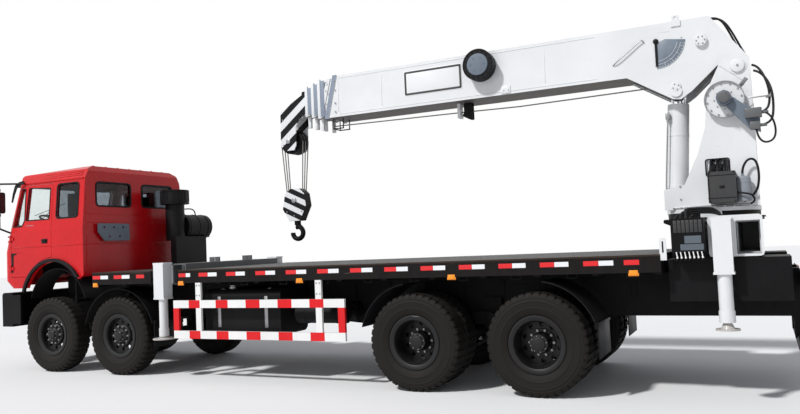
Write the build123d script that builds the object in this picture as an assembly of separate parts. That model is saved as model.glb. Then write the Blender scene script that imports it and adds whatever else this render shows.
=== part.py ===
from build123d import *
import math
import os

# Truck-mounted crane: four-axle truck, flat deck and a five-section boom at the rear.
# Millimetres. While modelling, X = 0 is the first axle, +X runs to the rear, +Y to the
# truck's right and +Z up from the ground. At the end all is moved so that the origin
# lies on the ground under the middle of the whole length.

# Overall stations
FRONT_X = -1140.0
REAR_X = 10000.0
HALF_WIDTH = 1240.0
SEAT = 0.3

# Wheels and axles
AXLE_X = {"1": 0.0, "2": 1370.0, "3": 6030.0, "4": 7450.0}
TYRE_R = 552.0
TYRE_W = 290.0
REAR_GUARD_R = 665.0
REAR_GUARD_IN = 580.0
RIM_R = 290.0
RIM_FLANGE_R = 308.0
RIM_FLANGE_T = 13.0
DISC_HOLE_R = 27.0
DISC_HOLES = 10
DISC_HOLE_CIRCLE = 196.0
RIM_GAP = 0.3
FRONT_TYRE_Y = 990.0
REAR_OUTER_Y = 1092.0
TWIN_SPACING = 330.0
KINGPIN_Y = 835.0
KINGPIN_R = 24.0
PIN_PLAY = 0.05
HUB_R = 140.0
SPINDLE_R = 45.0
REAR_TUBE_R = 75.0

# Chassis frame
RAIL_Y = 425.0
RAIL_FLANGE = 80.0
RAIL_WEB = 10.0
RAIL_Z0 = 780.0
RAIL_Z1 = 1060.0
FRAME_X0 = -980.0
FRAME_X1 = 9960.0
SUBFRAME_X0 = 1060.0
SUBFRAME_H = 200.0
CROSS_X = [-860.0, 1560.0, 2750.0, 4500.0, 5500.0, 6740.0, 8250.0, 9900.0]
CROSS_W = 60.0

# Deck
DECK_TOP = 1460.0
DECK_PLATE = 30.0
DECK_X0 = 1020.0
DECK_X1 = 8740.0
DECK_RAIL_H = 175.0
DECK_RAIL_T = 55.0
BEARER_W = 70.0
BEARER_PITCH = 640.0

# Cab
CAB_REAR_X = 640.0
CAB_HALF = 1060.0
CAB_DRIP_HALF = 995.0
CAB_DRIP_Z = 2880.0
CAB_WAIST_Z = 2130.0
CAB_ROOF_FRONT_Z = 3000.0
CAB_ROOF_REAR_Z = 3075.0
CAB_WALL = 50.0
CAB_CORNER_R = 130.0
CAB_FLOOR_Z = 1720.0
CAB_SKIRT_Z = 1250.0
CAB_REAR_LOW_Z = 1430.0
ARCH_Z = 1000.0
ARCH_R = 640.0
FLARE_R = 690.0
FLARE_OUT = 40.0
DOOR_GAP = 6.0
DOOR_REAR_X = -30.0
DOOR_FRONT_X = -940.0
HINGE_X = -937.0
HINGE_OUT = 12.0
HINGE_R = 11.0
HINGE_PIN_R = 5.0
HINGE_LEAF = 60.0
HINGE_Z = [1560.0, 2020.0]
TILT_X = -980.0
TILT_Z = 1230.0
TILT_PIN_R = 25.0
EAR_R = 40.0

# Outriggers
FRONT_BOX_X0 = 2150.0
FRONT_BOX_X1 = 2590.0
FRONT_BOX_Z0 = 1260.3
FRONT_BOX_Z1 = 1540.0
REAR_BOX_X0 = 9180.0
REAR_BOX_X1 = 9650.0
REAR_BOX_Z0 = 1420.0
REAR_BOX_Z1 = 1800.0
BOX_HALF = 1060.0
BOX_WALL = 16.0
BEAM_CLEAR = 0.3
BEAM_WALL = 12.0
BEAM_BACK = 900.0

# Crane base, column and slew ring
BASE_HALF = 435.0
LOCKER_HALF = 1050.0
LOCKER_TOP = 1400.0
SLEW_X = 9180.0
SLEW_R = 480.0
SLEW_Z0 = 1800.0
SLEW_H = 110.0
COLUMN_PLATE_Y = 320.0
COLUMN_PLATE_T = 20.0
COLUMN_TOP_Z = 3500.0

# Boom, at rest level
PIVOT_X = 9520.0
PIVOT_Z = 3390.0
PIVOT_R = 50.0
BOOM_Z0 = 3430.0
BOOM_Z1 = 3990.0
BOOM_HALF = 240.0
BOOM_WALL = 12.0
BOOM_REAR_X = 9270.0
FOOT_FLANGE_IN = 135.0
COLLAR_X = 4430.0
COLLAR_LEAN = 150.0
SECTION_STEP = 118.0
SECTION_SHRINK = 30.0
SECTION_NARROW = 24.0
PAD_LENGTH = 120.0
TAIL_X = 9000.0

# Lift cylinder
LIFT_FOOT_X = 8820.0
LIFT_FOOT_Z = 2060.0
LIFT_HEAD_X = 8895.0
LIFT_HEAD_Z = 3210.0
BARREL_R = 115.0
BARREL_LENGTH = 1040.0
ROD_R = 75.0

# Hook gear
HOOK_X = 3720.0
HEAD_SHEAVE_Z = 3190.0
HEAD_SHEAVE_R = 160.0
SHEAVE_PIN_R = 40.0
BLOCK_Z = 2290.0


def box(x0, x1, y0, y1, z0, z1):
    size = Box(x1 - x0, y1 - y0, z1 - z0)
    return Pos((x0 + x1) / 2, (y0 + y1) / 2, (z0 + z1) / 2) * size


def cyl_x(x0, x1, y, z, r):
    return Pos((x0 + x1) / 2, y, z) * Rot(0, 90, 0) * Cylinder(r, x1 - x0)


def cyl_y(x, y0, y1, z, r):
    return Pos(x, (y0 + y1) / 2, z) * Rot(90, 0, 0) * Cylinder(r, y1 - y0)


def cyl_z(x, y, z0, z1, r):
    return Pos(x, y, (z0 + z1) / 2) * Cylinder(r, z1 - z0)


def prism_y(points, y0, y1):
    """Extrude an outline of (x, z) points from y0 to y1."""
    face = Plane.XZ * make_face(Polyline(*points, close=True))
    return Pos(0, y1, 0) * extrude(face, y1 - y0, dir=(0, -1, 0))


def prism_x(points, x0, x1):
    """Extrude an outline of (y, z) points from x0 to x1."""
    face = Plane.YZ * make_face(Polyline(*points, close=True))
    return Pos(x0, 0, 0) * extrude(face, x1 - x0, dir=(1, 0, 0))


def rod_between(start, end, r):
    """A round bar between two points."""
    a = Vector(*start)
    b = Vector(*end)
    plane = Plane(origin=a, z_dir=b - a)
    return plane * Pos(0, 0, (b - a).length / 2) * Cylinder(r, (b - a).length)


def both_sides(shape):
    return [shape, mirror(shape, Plane.XZ)]


def rounded_prism_y(x0, x1, z0, z1, r, y0, y1):
    """A box along Y whose corners are rounded in side view."""
    outline = RectangleRounded(x1 - x0, z1 - z0, r)
    face = Plane.XZ * Pos((x0 + x1) / 2, (z0 + z1) / 2) * outline
    return Pos(0, y1, 0) * extrude(face, y1 - y0, dir=(0, -1, 0))


def rounded_prism_x(y0, y1, z0, z1, r, x0, x1):
    """A box along X whose corners are rounded in end view."""
    outline = RectangleRounded(y1 - y0, z1 - z0, r)
    face = Plane.YZ * Pos((y0 + y1) / 2, (z0 + z1) / 2) * outline
    return Pos(x0, 0, 0) * extrude(face, x1 - x0, dir=(1, 0, 0))


def chassis_frame():
    frame = None
    for side in (-1, 1):
        web = sorted((side * RAIL_Y, side * (RAIL_Y - RAIL_WEB)))
        flange = sorted((side * RAIL_Y, side * (RAIL_Y - RAIL_FLANGE)))
        rail = box(FRAME_X0, FRAME_X1, *web, RAIL_Z0, RAIL_Z1)
        rail += box(FRAME_X0, FRAME_X1, *flange, RAIL_Z0, RAIL_Z0 + RAIL_WEB)
        rail += box(FRAME_X0, FRAME_X1, *flange, RAIL_Z1 - RAIL_WEB, RAIL_Z1)
        frame = rail if frame is None else frame + rail
    inner = RAIL_Y - RAIL_WEB
    for x in CROSS_X:
        frame += box(x, x + CROSS_W, -inner, inner, RAIL_Z1 - 150, RAIL_Z1 - RAIL_WEB)
    return frame


def subframe():
    top = RAIL_Z1 + SUBFRAME_H
    sub = None
    for side in (-1, 1):
        ys = sorted((side * RAIL_Y, side * (RAIL_Y - RAIL_FLANGE)))
        tube = box(SUBFRAME_X0, FRAME_X1, *ys, RAIL_Z1, top)
        sub = tube if sub is None else sub + tube
    inner = RAIL_Y - RAIL_FLANGE
    for x in (1500.0, 3600.0, 5800.0, 8000.0, 9880.0):
        sub += box(x, x + CROSS_W, -inner, inner, RAIL_Z1 + 30, top - 30)
    return sub


def deck():
    low = RAIL_Z1 + SUBFRAME_H
    plate_z = DECK_TOP - DECK_PLATE
    stretches = [
        # start, end along the truck
        (DECK_X0, FRONT_BOX_X0 - 20),
        (FRONT_BOX_X1 + 20, DECK_X1),
    ]
    pieces = []
    for x0, x1 in stretches:
        part = box(x0, x1, -HALF_WIDTH, HALF_WIDTH, plate_z, DECK_TOP)
        for side in (-1, 1):
            ys = sorted((side * HALF_WIDTH, side * (HALF_WIDTH - DECK_RAIL_T)))
            part += box(x0, x1, *ys, DECK_TOP - DECK_RAIL_H, DECK_TOP)
        count = max(2, round((x1 - x0) / BEARER_PITCH) + 1)
        for i in range(count):
            x = x0 + (x1 - x0 - BEARER_W) * i / (count - 1)
            edge = HALF_WIDTH - DECK_RAIL_T
            part += box(x, x + BEARER_W, -edge, edge, low + SEAT, plate_z)
        pieces.append(part)
    return pieces


def cab_side_outline(inset):
    """Side view of the cab, drawn in from the outer skin by inset."""
    return [
        (CAB_REAR_X - inset, CAB_REAR_LOW_Z),
        (CAB_REAR_X - inset, CAB_ROOF_REAR_Z - 90),
        (CAB_REAR_X - inset - 60, CAB_ROOF_REAR_Z - inset),
        (-760.0 + inset, CAB_ROOF_FRONT_Z - inset + 10),
        (-835.0 + inset, CAB_ROOF_FRONT_Z - 50 - inset),
        (-1040.0 + inset, CAB_WAIST_Z),
        (-1135.0 + inset, 1820.0),
        (-1135.0 + inset, 1370.0),
        (-960.0 + inset, CAB_SKIRT_Z),
        (300.0, CAB_SKIRT_Z),
    ]


def cab_end_outline(inset):
    """End view of the cab, drawn in from the outer skin by inset."""
    half = [
        (CAB_HALF - inset, CAB_SKIRT_Z - 10),
        (CAB_HALF - inset, CAB_WAIST_Z),
        (CAB_DRIP_HALF - inset, CAB_DRIP_Z),
        (CAB_DRIP_HALF - 70 - inset, CAB_ROOF_REAR_Z - 60 - inset),
        (CAB_DRIP_HALF - 180 - inset, CAB_ROOF_REAR_Z - 10 - inset),
    ]
    return half + [(-y, z) for y, z in reversed(half)]


def corner_cutter(low, high, side, radius):
    """What is cut from an upright corner between two levels to round it off."""
    x, y, z = low
    r = radius
    c = 1.5
    start = (x + r, y - side * c)
    end = (x + c, y - side * r)
    mid = (x + c + (r - c) * 0.29, y - side * (c + (r - c) * 0.29))
    outline = Polyline(end, (x - 40, y - side * r), (x - 40, y + side * 40), (x + r, y + side * 40), start)
    outline += ThreePointArc(start, mid, end)
    face = Pos(0, 0, z) * make_face(outline)
    shift = Vector(high[0] - x, high[1] - y, high[2] - z)
    return extrude(face, shift.length, dir=shift)


def cab_block(inset):
    """The cab's solid form, drawn in by inset, with its front corners rounded."""
    block = prism_y(cab_side_outline(inset), -CAB_HALF - 10, CAB_HALF + 10)
    block = block & prism_x(cab_end_outline(inset), -1300, 900)
    half = CAB_HALF - inset
    lean = (CAB_HALF - CAB_DRIP_HALF) / (CAB_DRIP_Z - CAB_WAIST_Z)
    top = CAB_ROOF_REAR_Z + 30
    slope = 205.0 / (CAB_ROOF_FRONT_Z - 50 - inset - CAB_WAIST_Z)
    for side in (-1, 1):
        corner = [
            (-975.0 + inset, side * half, CAB_SKIRT_Z - 10),
            (-1135.0 + inset, side * half, 1370.0),
            (-1135.0 + inset, side * half, 1820.0),
            (-1040.0 + inset, side * half, CAB_WAIST_Z),
            (-1040.0 + inset + slope * (top - CAB_WAIST_Z), side * (half - lean * (top - CAB_WAIST_Z)), top),
        ]
        for low, high in zip(corner, corner[1:]):
            block -= corner_cutter(low, high, side, CAB_CORNER_R - inset)
    return block


# Cab windows in side view: name, corners (x, z), corner radius
DOOR_GLASS = [(-600.0, 2300.0), (-560.0, 2790.0), (-90.0, 2760.0), (-90.0, 2300.0)]
QUARTER_GLASS = [(-870.0, 2215.0), (-715.0, 2780.0), (-650.0, 2790.0), (-640.0, 2300.0), (-700.0, 2215.0)]
REST_GLASS = (70.0, 520.0, 2300.0, 2810.0)
DOOR_OUTLINE = [
    (DOOR_FRONT_X, 1420.0),
    (DOOR_FRONT_X, 2130.0),
    (-745.0, 2840.0),
    (DOOR_REAR_X, 2840.0),
    (DOOR_REAR_X, 1420.0),
]
REAR_WINDOWS = [
    # y from, y to, z from, z to
    (-800.0, -115.0, 2455.0, 2820.0),
    (115.0, 800.0, 2455.0, 2820.0),
]
SCREEN_HALF = 900.0
SCREEN_Z0 = 2220.0
SCREEN_Z1 = 2860.0
WINDOW_R = 60.0
GLASS_DEPTH = 18.0
GLASS_T = 6.0


def grow(points, amount):
    """Move an outline's corners away from its middle by amount."""
    cx = sum(p[0] for p in points) / len(points)
    cz = sum(p[1] for p in points) / len(points)
    out = []
    for x, z in points:
        out.append((x + (amount if x > cx else -amount), z + (amount if z > cz else -amount)))
    return out


def window_cutters(shrink):
    """Prisms through the cab's walls for the fixed windows."""
    deep = CAB_HALF + 100
    cutters = []
    x0, x1, z0, z1 = REST_GLASS
    cutters.append(rounded_prism_y(x0 + shrink, x1 - shrink, z0 + shrink, z1 - shrink, WINDOW_R, -deep, deep))
    for y0, y1, z0, z1 in REAR_WINDOWS:
        cutters.append(
            rounded_prism_x(y0 + shrink, y1 - shrink, z0 + shrink, z1 - shrink, WINDOW_R, CAB_REAR_X - 200, CAB_REAR_X + 200)
        )
    cutters.append(
        rounded_prism_x(
            -SCREEN_HALF + shrink, SCREEN_HALF - shrink, SCREEN_Z0 + shrink, SCREEN_Z1 - shrink, WINDOW_R, -1300, -500
        )
    )
    return cutters


def door_region(gap):
    """The door's opening as a prism through one side, less a gap all round."""
    pts = grow(DOOR_OUTLINE, -gap)
    region = prism_y(pts, -CAB_HALF - 60, -CAB_DRIP_HALF + 120)
    return region - cyl_y(0, -CAB_HALF - 80, -CAB_DRIP_HALF + 140, ARCH_Z, FLARE_R + 20 + gap)


def cab_shell():
    shell = cab_block(0) - cab_block(CAB_WALL)
    low = CAB_SKIRT_Z - 50
    # floor across the cab, above the wheel arches
    floor_pts = [
        (CAB_REAR_X - 20, CAB_FLOOR_Z - 40),
        (CAB_REAR_X - 20, CAB_FLOOR_Z),
        (-1060.0, CAB_FLOOR_Z),
        (-1060.0, CAB_FLOOR_Z - 40),
    ]
    shell += prism_y(floor_pts, -CAB_HALF + 20, CAB_HALF - 20)
    # the underside is open between the side skirts
    shell -= box(-1060.0 + CAB_WALL, CAB_REAR_X - CAB_WALL, -CAB_HALF + CAB_WALL, CAB_HALF - CAB_WALL, low, CAB_FLOOR_Z - 40)
    shell -= cyl_y(0, -CAB_HALF - 50, CAB_HALF + 50, ARCH_Z, ARCH_R)
    for cutter in window_cutters(0):
        shell -= cutter
    for region in both_sides(door_region(0)):
        shell -= region
    for leaves in both_sides(cab_hinge_leaves()):
        shell += leaves
    # drip rails above the doors
    for side in (-1, 1):
        ys = sorted((side * (CAB_DRIP_HALF - 10), side * (CAB_DRIP_HALF + 14)))
        shell += box(-690, CAB_REAR_X - 30, *ys, CAB_DRIP_Z - 14, CAB_DRIP_Z + 4)
    # grille slots in the front panel
    for i in range(5):
        z = 1480 + 70 * i
        shell -= box(-1200, -1060, -620, 620, z, z + 32)
    # two brackets that carry the tilt pins
    for side in (-1, 1):
        ys = sorted((side * 500, side * 540))
        ear = box(TILT_X - EAR_R, TILT_X + EAR_R, *ys, TILT_Z, CAB_FLOOR_Z - 30)
        shell += ear + cyl_y(TILT_X, *ys, TILT_Z, EAR_R)
    shell -= cyl_y(TILT_X, -560, 560, TILT_Z, TILT_PIN_R + PIN_PLAY)
    return shell


def glass_layer():
    return cab_block(GLASS_DEPTH) - cab_block(GLASS_DEPTH + GLASS_T)


def cab_glass():
    layer = glass_layer()
    panes = []
    for cutter in window_cutters(RIM_GAP):
        panes += (layer & cutter).solids()
    return panes


def hinge_leaf(x0, x1, z0, z1):
    """One hinge leaf with its knuckle, on the left door's pin."""
    y = -CAB_HALF - HINGE_OUT
    leaf = box(min(x0, x1), max(x0, x1), y, -CAB_HALF, z0, z1)
    return leaf + cyl_z(HINGE_X, y, z0, z1, HINGE_R)


def cab_hinge_leaves():
    leaves = None
    for z in HINGE_Z:
        leaf = hinge_leaf(HINGE_X - HINGE_LEAF, HINGE_X, z + 25, z + 50)
        leaf += hinge_leaf(HINGE_X - HINGE_LEAF, HINGE_X, z - 50, z - 25)
        leaf += cyl_z(HINGE_X, -CAB_HALF - HINGE_OUT, z - 50, z + 50, HINGE_PIN_R)
        leaves = leaf if leaves is None else leaves + leaf
    return leaves


def door_hinge_leaves():
    leaves = None
    for z in HINGE_Z:
        leaf = hinge_leaf(HINGE_X, HINGE_X + HINGE_LEAF, z - 25 + SEAT, z + 25 - SEAT)
        leaf -= cyl_z(HINGE_X, -CAB_HALF - HINGE_OUT, z - 60, z + 60, HINGE_PIN_R + PIN_PLAY)
        leaves = leaf if leaves is None else leaves + leaf
    return leaves


def door(side):
    panel = (cab_block(0) - cab_block(CAB_WALL)) & door_region(DOOR_GAP)
    deep = CAB_HALF + 100
    for pts in (DOOR_GLASS, QUARTER_GLASS):
        panel -= prism_y(pts, -deep, deep)
    panel += door_hinge_leaves()
    return panel if side < 0 else mirror(panel, Plane.XZ)


def door_glass(side):
    layer = glass_layer()
    panes = []
    for pts in (DOOR_GLASS, QUARTER_GLASS):
        pane = layer & prism_y(grow(pts, -RIM_GAP), -CAB_HALF - 100, -500)
        panes += pane.solids()
    if side > 0:
        panes = [mirror(p, Plane.XZ) for p in panes]
    return panes


def cab_flares():
    pieces = []
    for side in (-1, 1):
        ys = sorted((side * (CAB_HALF + 0.3), side * (CAB_HALF + FLARE_OUT)))
        ring = cyl_y(0, *ys, ARCH_Z, FLARE_R) - cyl_y(0, ys[0] - 5, ys[1] + 5, ARCH_Z, ARCH_R + 4)
        ring -= box(-800, 800, ys[0] - 5, ys[1] + 5, 200, CAB_SKIRT_Z - 60)
        ring -= box(0, 900, ys[0] - 5, ys[1] + 5, 200, 1400)
        pieces.append(ring)
    return pieces


def cab_interior():
    """Two seats, a bunk and the dashboard on the cab's floor."""
    floor = CAB_FLOOR_Z + 0.3
    pieces = []
    for y in (-560.0, 560.0):
        seat = box(-480, 20, y - 240, y + 240, floor, floor + 360)
        seat += box(20, 130, y - 230, y + 230, floor + 200, floor + 960)
        seat += box(40, 110, y - 120, y + 120, floor + 940, floor + 1120)
        pieces.append(seat)
    dash = box(-1030, -780, -970, 970, floor, floor + 430)
    pieces.append((dash & cab_block(CAB_WALL + 8)) + steering_wheel())
    pieces.append(box(200, 560, -960, 960, floor, floor + 420))
    return pieces


def steering_wheel():
    hub = Vector(-560, -560, CAB_FLOOR_Z + 600)
    tilt = Plane(origin=hub, z_dir=(0.35, 0, 1))
    wheel = tilt * Torus(220, 16)
    wheel += tilt * Pos(0, 0, -10) * Box(430, 40, 14)
    wheel += tilt * Pos(0, 0, -10) * Cylinder(45, 30)
    foot = hub + Vector(-260, 0, -260)
    wheel += rod_between(foot, hub, 24)
    return wheel


def mirrors():
    pieces = []
    for side in (-1, 1):
        y_in = side * (CAB_DRIP_HALF + 28.6 + SEAT)
        reach = CAB_CORNER_R + 13.1 + SEAT
        y_foot = side * (CAB_HALF - CAB_CORNER_R + math.sqrt(reach**2 - 53.5**2))
        y_out = side * (CAB_HALF + 120)
        pts = [
            (-660, y_in, 2875),
            (-1040, y_out, 2890),
            (-1040, y_out, 2190),
            (-965, y_foot, 2125),
        ]
        arm = rod_between(pts[0], pts[1], 14)
        arm += rod_between(pts[1], pts[2], 14)
        arm += rod_between(pts[2], pts[3], 14)
        for p in pts:
            arm += Pos(*p) * Sphere(14.6)
        ys = sorted((side * (CAB_HALF + 30), side * (CAB_HALF + 210)))
        arm += rounded_prism_x(*ys, 2430, 2760, 35, -1070, -1015)
        pieces.append(arm)
    return pieces


def rear_plate():
    """Grey holed plate on studs behind the cab."""
    outline = [(-820, 2190), (-210, 2185), (-200, 1925), (-700, 1925), (-820, 2060)]
    plate = prism_x(outline, CAB_REAR_X + 40, CAB_REAR_X + 52)
    holes = [(-700, 2130), (-515, 2130), (-330, 2130), (-600, 1990), (-400, 1990)]
    for y, z in holes:
        plate -= cyl_x(CAB_REAR_X, CAB_REAR_X + 100, y, z, 18)
    for y in (-770, -250):
        plate += cyl_x(CAB_REAR_X + SEAT, CAB_REAR_X + 41, y, 2120, 20)
    return plate


def bumper():
    body = prism_y([(-1135, 660), (-1140, 1150), (-1110, 1184), (-900, 1184), (-900, 660)], -1080, 1080)
    body -= box(-1080, -800, -1040, 1040, 700, 1150)
    body += box(-1100, FRAME_X0 - SEAT, -440, 440, 800, 1040)
    for side in (-1, 1):
        ys = sorted((side * 560, side * 860))
        body -= box(-1180, -1085, *ys, 880, 1060)
        wrap = sorted((side * 1080, side * 1040))
        body += box(-1130, -720, *wrap, 700, 1150)
        ear = sorted((side * 450, side * 490))
        body += box(TILT_X - 40, TILT_X + 40, *ear, 1000, TILT_Z + 40)
        body += cyl_y(TILT_X, *sorted((side * 450, side * 545)), TILT_Z, TILT_PIN_R)
    return body


def lamps():
    """Headlamps, amber side lamps under the deck's edge, and tail lamps."""
    pieces = []
    for side in (-1, 1):
        ys = sorted((side * 565, side * 855))
        pieces.append(box(-1130, -1085, *ys, 885, 1055))
        for x in (1080.0, 2660.0, 4540.0, 6540.0, 8480.0):
            lamp_y = sorted((side * HALF_WIDTH, side * (HALF_WIDTH - 30)))
            top = DECK_TOP - DECK_RAIL_H - SEAT
            pieces.append(box(x - 50, x + 50, *lamp_y, top - 30, top))
        ys = sorted((side * 900, side * 1180))
        pieces.append(box(FRAME_X1 + 12 + 2 * SEAT, REAR_X, *ys, 1105, 1225))
    return pieces


def side_guards():
    pieces = []
    for side, start in ((-1, 2520.0), (1, 2720.0)):
        ys = sorted((side * HALF_WIDTH, side * (HALF_WIDTH - 35)))
        end = 5160.0
        guard = box(start, end, *ys, 955, 1055)
        guard += box(start, end, *ys, 555, 655)
        for x in (start, end - 90):
            guard += box(x, x + 90, *ys, 640, 970)
        for x in (2905.0, 4760.0):
            guard += box(x, x + 85, *ys, 600, DECK_TOP - DECK_RAIL_H)
        pieces.append(guard)
    return pieces


def tanks():
    """Fuel tank on the left, battery box and air tanks beside the frame rails."""
    rail = RAIL_Y + 0.3
    pieces = []
    fuel = rounded_prism_x(-1100, -rail - 60, 600, 1180, 90, 2950, 4150)
    for x in (3150, 3900):
        fuel += box(x, x + 60, -rail - 70, -rail, 780, 1040)
    pieces.append(fuel)
    box_right = box(2980, 3700, rail, 1080, 680, 1180)
    pieces.append(box_right)
    air = box(4500, 4540, -1000, -rail, 975, 1015)
    for y in (-930.0, -640.0):
        air += cyl_x(4330, 5020, y, 860, 125)
    pieces.append(air)
    return pieces


def front_axles():
    pieces = []
    for name in ("1", "2"):
        x = AXLE_X[name]
        half = KINGPIN_Y - 70
        beam = box(x - 45, x + 45, -half + 130, half - 130, 440, 540)
        for side in (-1, 1):
            ys = sorted((side * (half - 150), side * half))
            beam += box(x - 45, x + 45, *ys, 450, 620)
            beam += cyl_z(x, side * KINGPIN_Y, 490, 600, 60) + box(
                x - 45, x + 45, *sorted((side * half, side * KINGPIN_Y)), 490, 600
            )
        for side in (-1, 1):
            beam -= cyl_z(x, side * KINGPIN_Y, 400, 700, KINGPIN_R + PIN_PLAY)
        pieces.append(beam)
    return pieces


def rear_axles():
    axles = rod_between((AXLE_X["3"] + 120, 0, TYRE_R + 40), (AXLE_X["4"] - 240, 0, TYRE_R + 40), 50)
    for name in ("3", "4"):
        x = AXLE_X[name]
        housing = cyl_y(x, -590, 590, TYRE_R, REAR_TUBE_R)
        housing += Pos(x, 0, TYRE_R) * Sphere(190)
        for side in (-1, 1):
            ys = sorted((side * 590, side * 1000))
            housing += cyl_y(x, *ys, TYRE_R, SPINDLE_R)
        housing += cyl_x(x - 300, x, 0, TYRE_R + 40, 70)
        axles += housing
    return axles


def springs():
    pieces = []
    for name in ("1", "2"):
        x = AXLE_X[name]
        for side in (-1, 1):
            ys = sorted((side * (RAIL_Y - RAIL_FLANGE), side * RAIL_Y))
            pack = prism_y(
                [(x - 560, 745), (x - 150, 640), (x + 150, 640), (x + 560, 745), (x + 560, 765), (x, 690), (x - 560, 765)],
                *ys,
            )
            pack += box(x - 50, x + 50, *ys, 540.3, 650)
            for end in (-520, 520):
                pack += box(x + end - 35, x + end + 35, *ys, 740, RAIL_Z0 - 0.3)
            pieces.append(pack)
    mid = (AXLE_X["3"] + AXLE_X["4"]) / 2
    reach = (AXLE_X["4"] - AXLE_X["3"]) / 2
    seat = TYRE_R + REAR_TUBE_R + SEAT
    for side in (-1, 1):
        ys = sorted((side * (RAIL_Y + 45), side * (RAIL_Y + 135)))
        pack = prism_y(
            [
                (mid - reach, seat), (mid - 180, 690), (mid + 180, 690), (mid + reach, seat),
                (mid + reach, seat + 30), (mid + 180, 840), (mid - 180, 840), (mid - reach, seat + 30),
            ],
            *ys,
        )
        trunnion = box(mid - 110, mid + 110, *sorted((side * (RAIL_Y + 0.3), side * (RAIL_Y + 60))), 640, 1000)
        pieces.append(pack + trunnion)
    return pieces


def driveline():
    """Engine, gearbox and the shafts to the rear axles."""
    inner = RAIL_Y - RAIL_WEB - SEAT
    line = box(-560, 780, -330, 330, 640, 1400)
    for x in (-420.0, 560.0):
        line += box(x, x + 90, -inner, inner, 950, 1030)
    line += box(770, 1480, -210, 210, 760, 1180)
    middle = (3700, 0, 780)
    line += rod_between((1470, 0, 830), middle, 55)
    line += rod_between(middle, (AXLE_X["3"] - 308, 0, TYRE_R + 42), 55)
    line += Pos(*middle) * Sphere(75)
    return line


def arc_guard(x, z, r, start, end, half_in, half_out, side):
    """A curved mudguard sheet from start to end degrees, 0 at the rear, 90 up."""
    ys = sorted((side * half_in, side * half_out))
    sheet = cyl_y(x, *ys, z, r + 8) - cyl_y(x, ys[0] - 5, ys[1] + 5, z, r)
    a0, a1 = math.radians(start), math.radians(end)
    reach = r * 3
    mid = (a0 + a1) / 2
    wedge = [(x, z)]
    for a in (a0, mid, a1):
        wedge.append((x + reach * math.cos(a), z + reach * math.sin(a)))
    return sheet & prism_y(wedge, ys[0] - 5, ys[1] + 5)


def mudguards():
    pieces = []
    for side in (-1, 1):
        first = arc_guard(AXLE_X["1"], 930, 600, 15, 165, 640, 1000, side)
        second = arc_guard(AXLE_X["2"], TYRE_R, 665, 15, 165, 640, 1120, side)
        rail = side * (RAIL_Y + SEAT)
        for guard, x, z in ((first, AXLE_X["1"], 1530), (second, AXLE_X["2"], 1217)):
            arm = box(x - 20, x + 20, *sorted((rail, side * 655)), 1000, 1040)
            arm += box(x - 20, x + 20, *sorted((side * 640, side * 655)), 1000, z + 3)
            pieces.append(guard + arm)
        # quarter guards ahead of the third axle and behind the fourth
        for name, start, end, way in (("3", 98, 165, -1), ("4", 15, 82, 1)):
            x = AXLE_X[name]
            guard = arc_guard(x, TYRE_R, REAR_GUARD_R, start, end, REAR_GUARD_IN, HALF_WIDTH - 8, side)
            mid = x + way * 130
            arm = box(mid - 20, mid + 20, *sorted((rail, side * (REAR_GUARD_IN + 15))), 1000, 1040)
            arm += box(mid - 20, mid + 20, *sorted((side * REAR_GUARD_IN, side * (REAR_GUARD_IN + 15))), 1000,
                       TYRE_R + math.sqrt(REAR_GUARD_R**2 - 150**2) + 3)
            pieces.append(guard + arm)
    return pieces


def intake():
    """Raised air intake and air cleaner on a frame behind the cab."""
    y = 485.0
    stack = cyl_z(1000, y, 1900, 2520, 150)
    stack += cyl_z(1000, y, 2500, 2720, 225)
    cleaner = Pos(1000, 0, 2125) * Rot(90, 0, 0) * Cylinder(200, 560)
    cleaner = Pos(0, 880, 0) * cleaner
    frame = box(1035, 1150, 330, 1050, DECK_TOP + 0.3, 1960)
    return stack + cleaner + frame


def side_lockers():
    """Hydraulic oil tank on the left and a locker on the right of the crane's base."""
    pieces = []
    for side in (-1, 1):
        ys = sorted((side * (BASE_HALF + SEAT), side * LOCKER_HALF))
        pieces.append(box(8790, 9880, *ys, 985, LOCKER_TOP))
    return pieces


def slew_base():
    half = BASE_HALF
    low = RAIL_Z1 + SUBFRAME_H + SEAT
    body = prism_y([(8765, low), (8765, SLEW_Z0 - 60), (8700, SLEW_Z0 - 30), (8700, SLEW_Z0),
                    (9655, SLEW_Z0), (9655, low)], -half, half)
    body += cyl_z(SLEW_X, 0, SLEW_Z0 - 30, SLEW_Z0, SLEW_R + 20)
    body += box(REAR_BOX_X0, REAR_BOX_X1, -BOX_HALF, BOX_HALF, REAR_BOX_Z0, REAR_BOX_Z1)
    for side in (-1, 1):
        ys = sorted((side * (BOX_HALF - 40), side * BOX_HALF))
        body += rounded_prism_y(REAR_BOX_X0 - 8, REAR_BOX_X1 + 8, REAR_BOX_Z0 - 8, REAR_BOX_Z1 + 10, 40, *ys)
    body += cyl_z(SLEW_X, 0, SLEW_Z0, SLEW_Z0 + SLEW_H - 40, SLEW_R - 10)
    for x0, x1 in beam_slots(REAR_BOX_X0, REAR_BOX_X1):
        body -= box(x0, x1, -BOX_HALF - 20, BOX_HALF + 20, REAR_BOX_Z0 + BOX_WALL, REAR_BOX_Z1 - BOX_WALL - 30)
    return body


def beam_slots(x0, x1):
    """The two side-by-side channels of an outrigger box, as x ranges."""
    mid = (x0 + x1) / 2
    return [(x0 + BOX_WALL, mid - BOX_WALL / 2), (mid + BOX_WALL / 2, x1 - BOX_WALL)]


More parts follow.
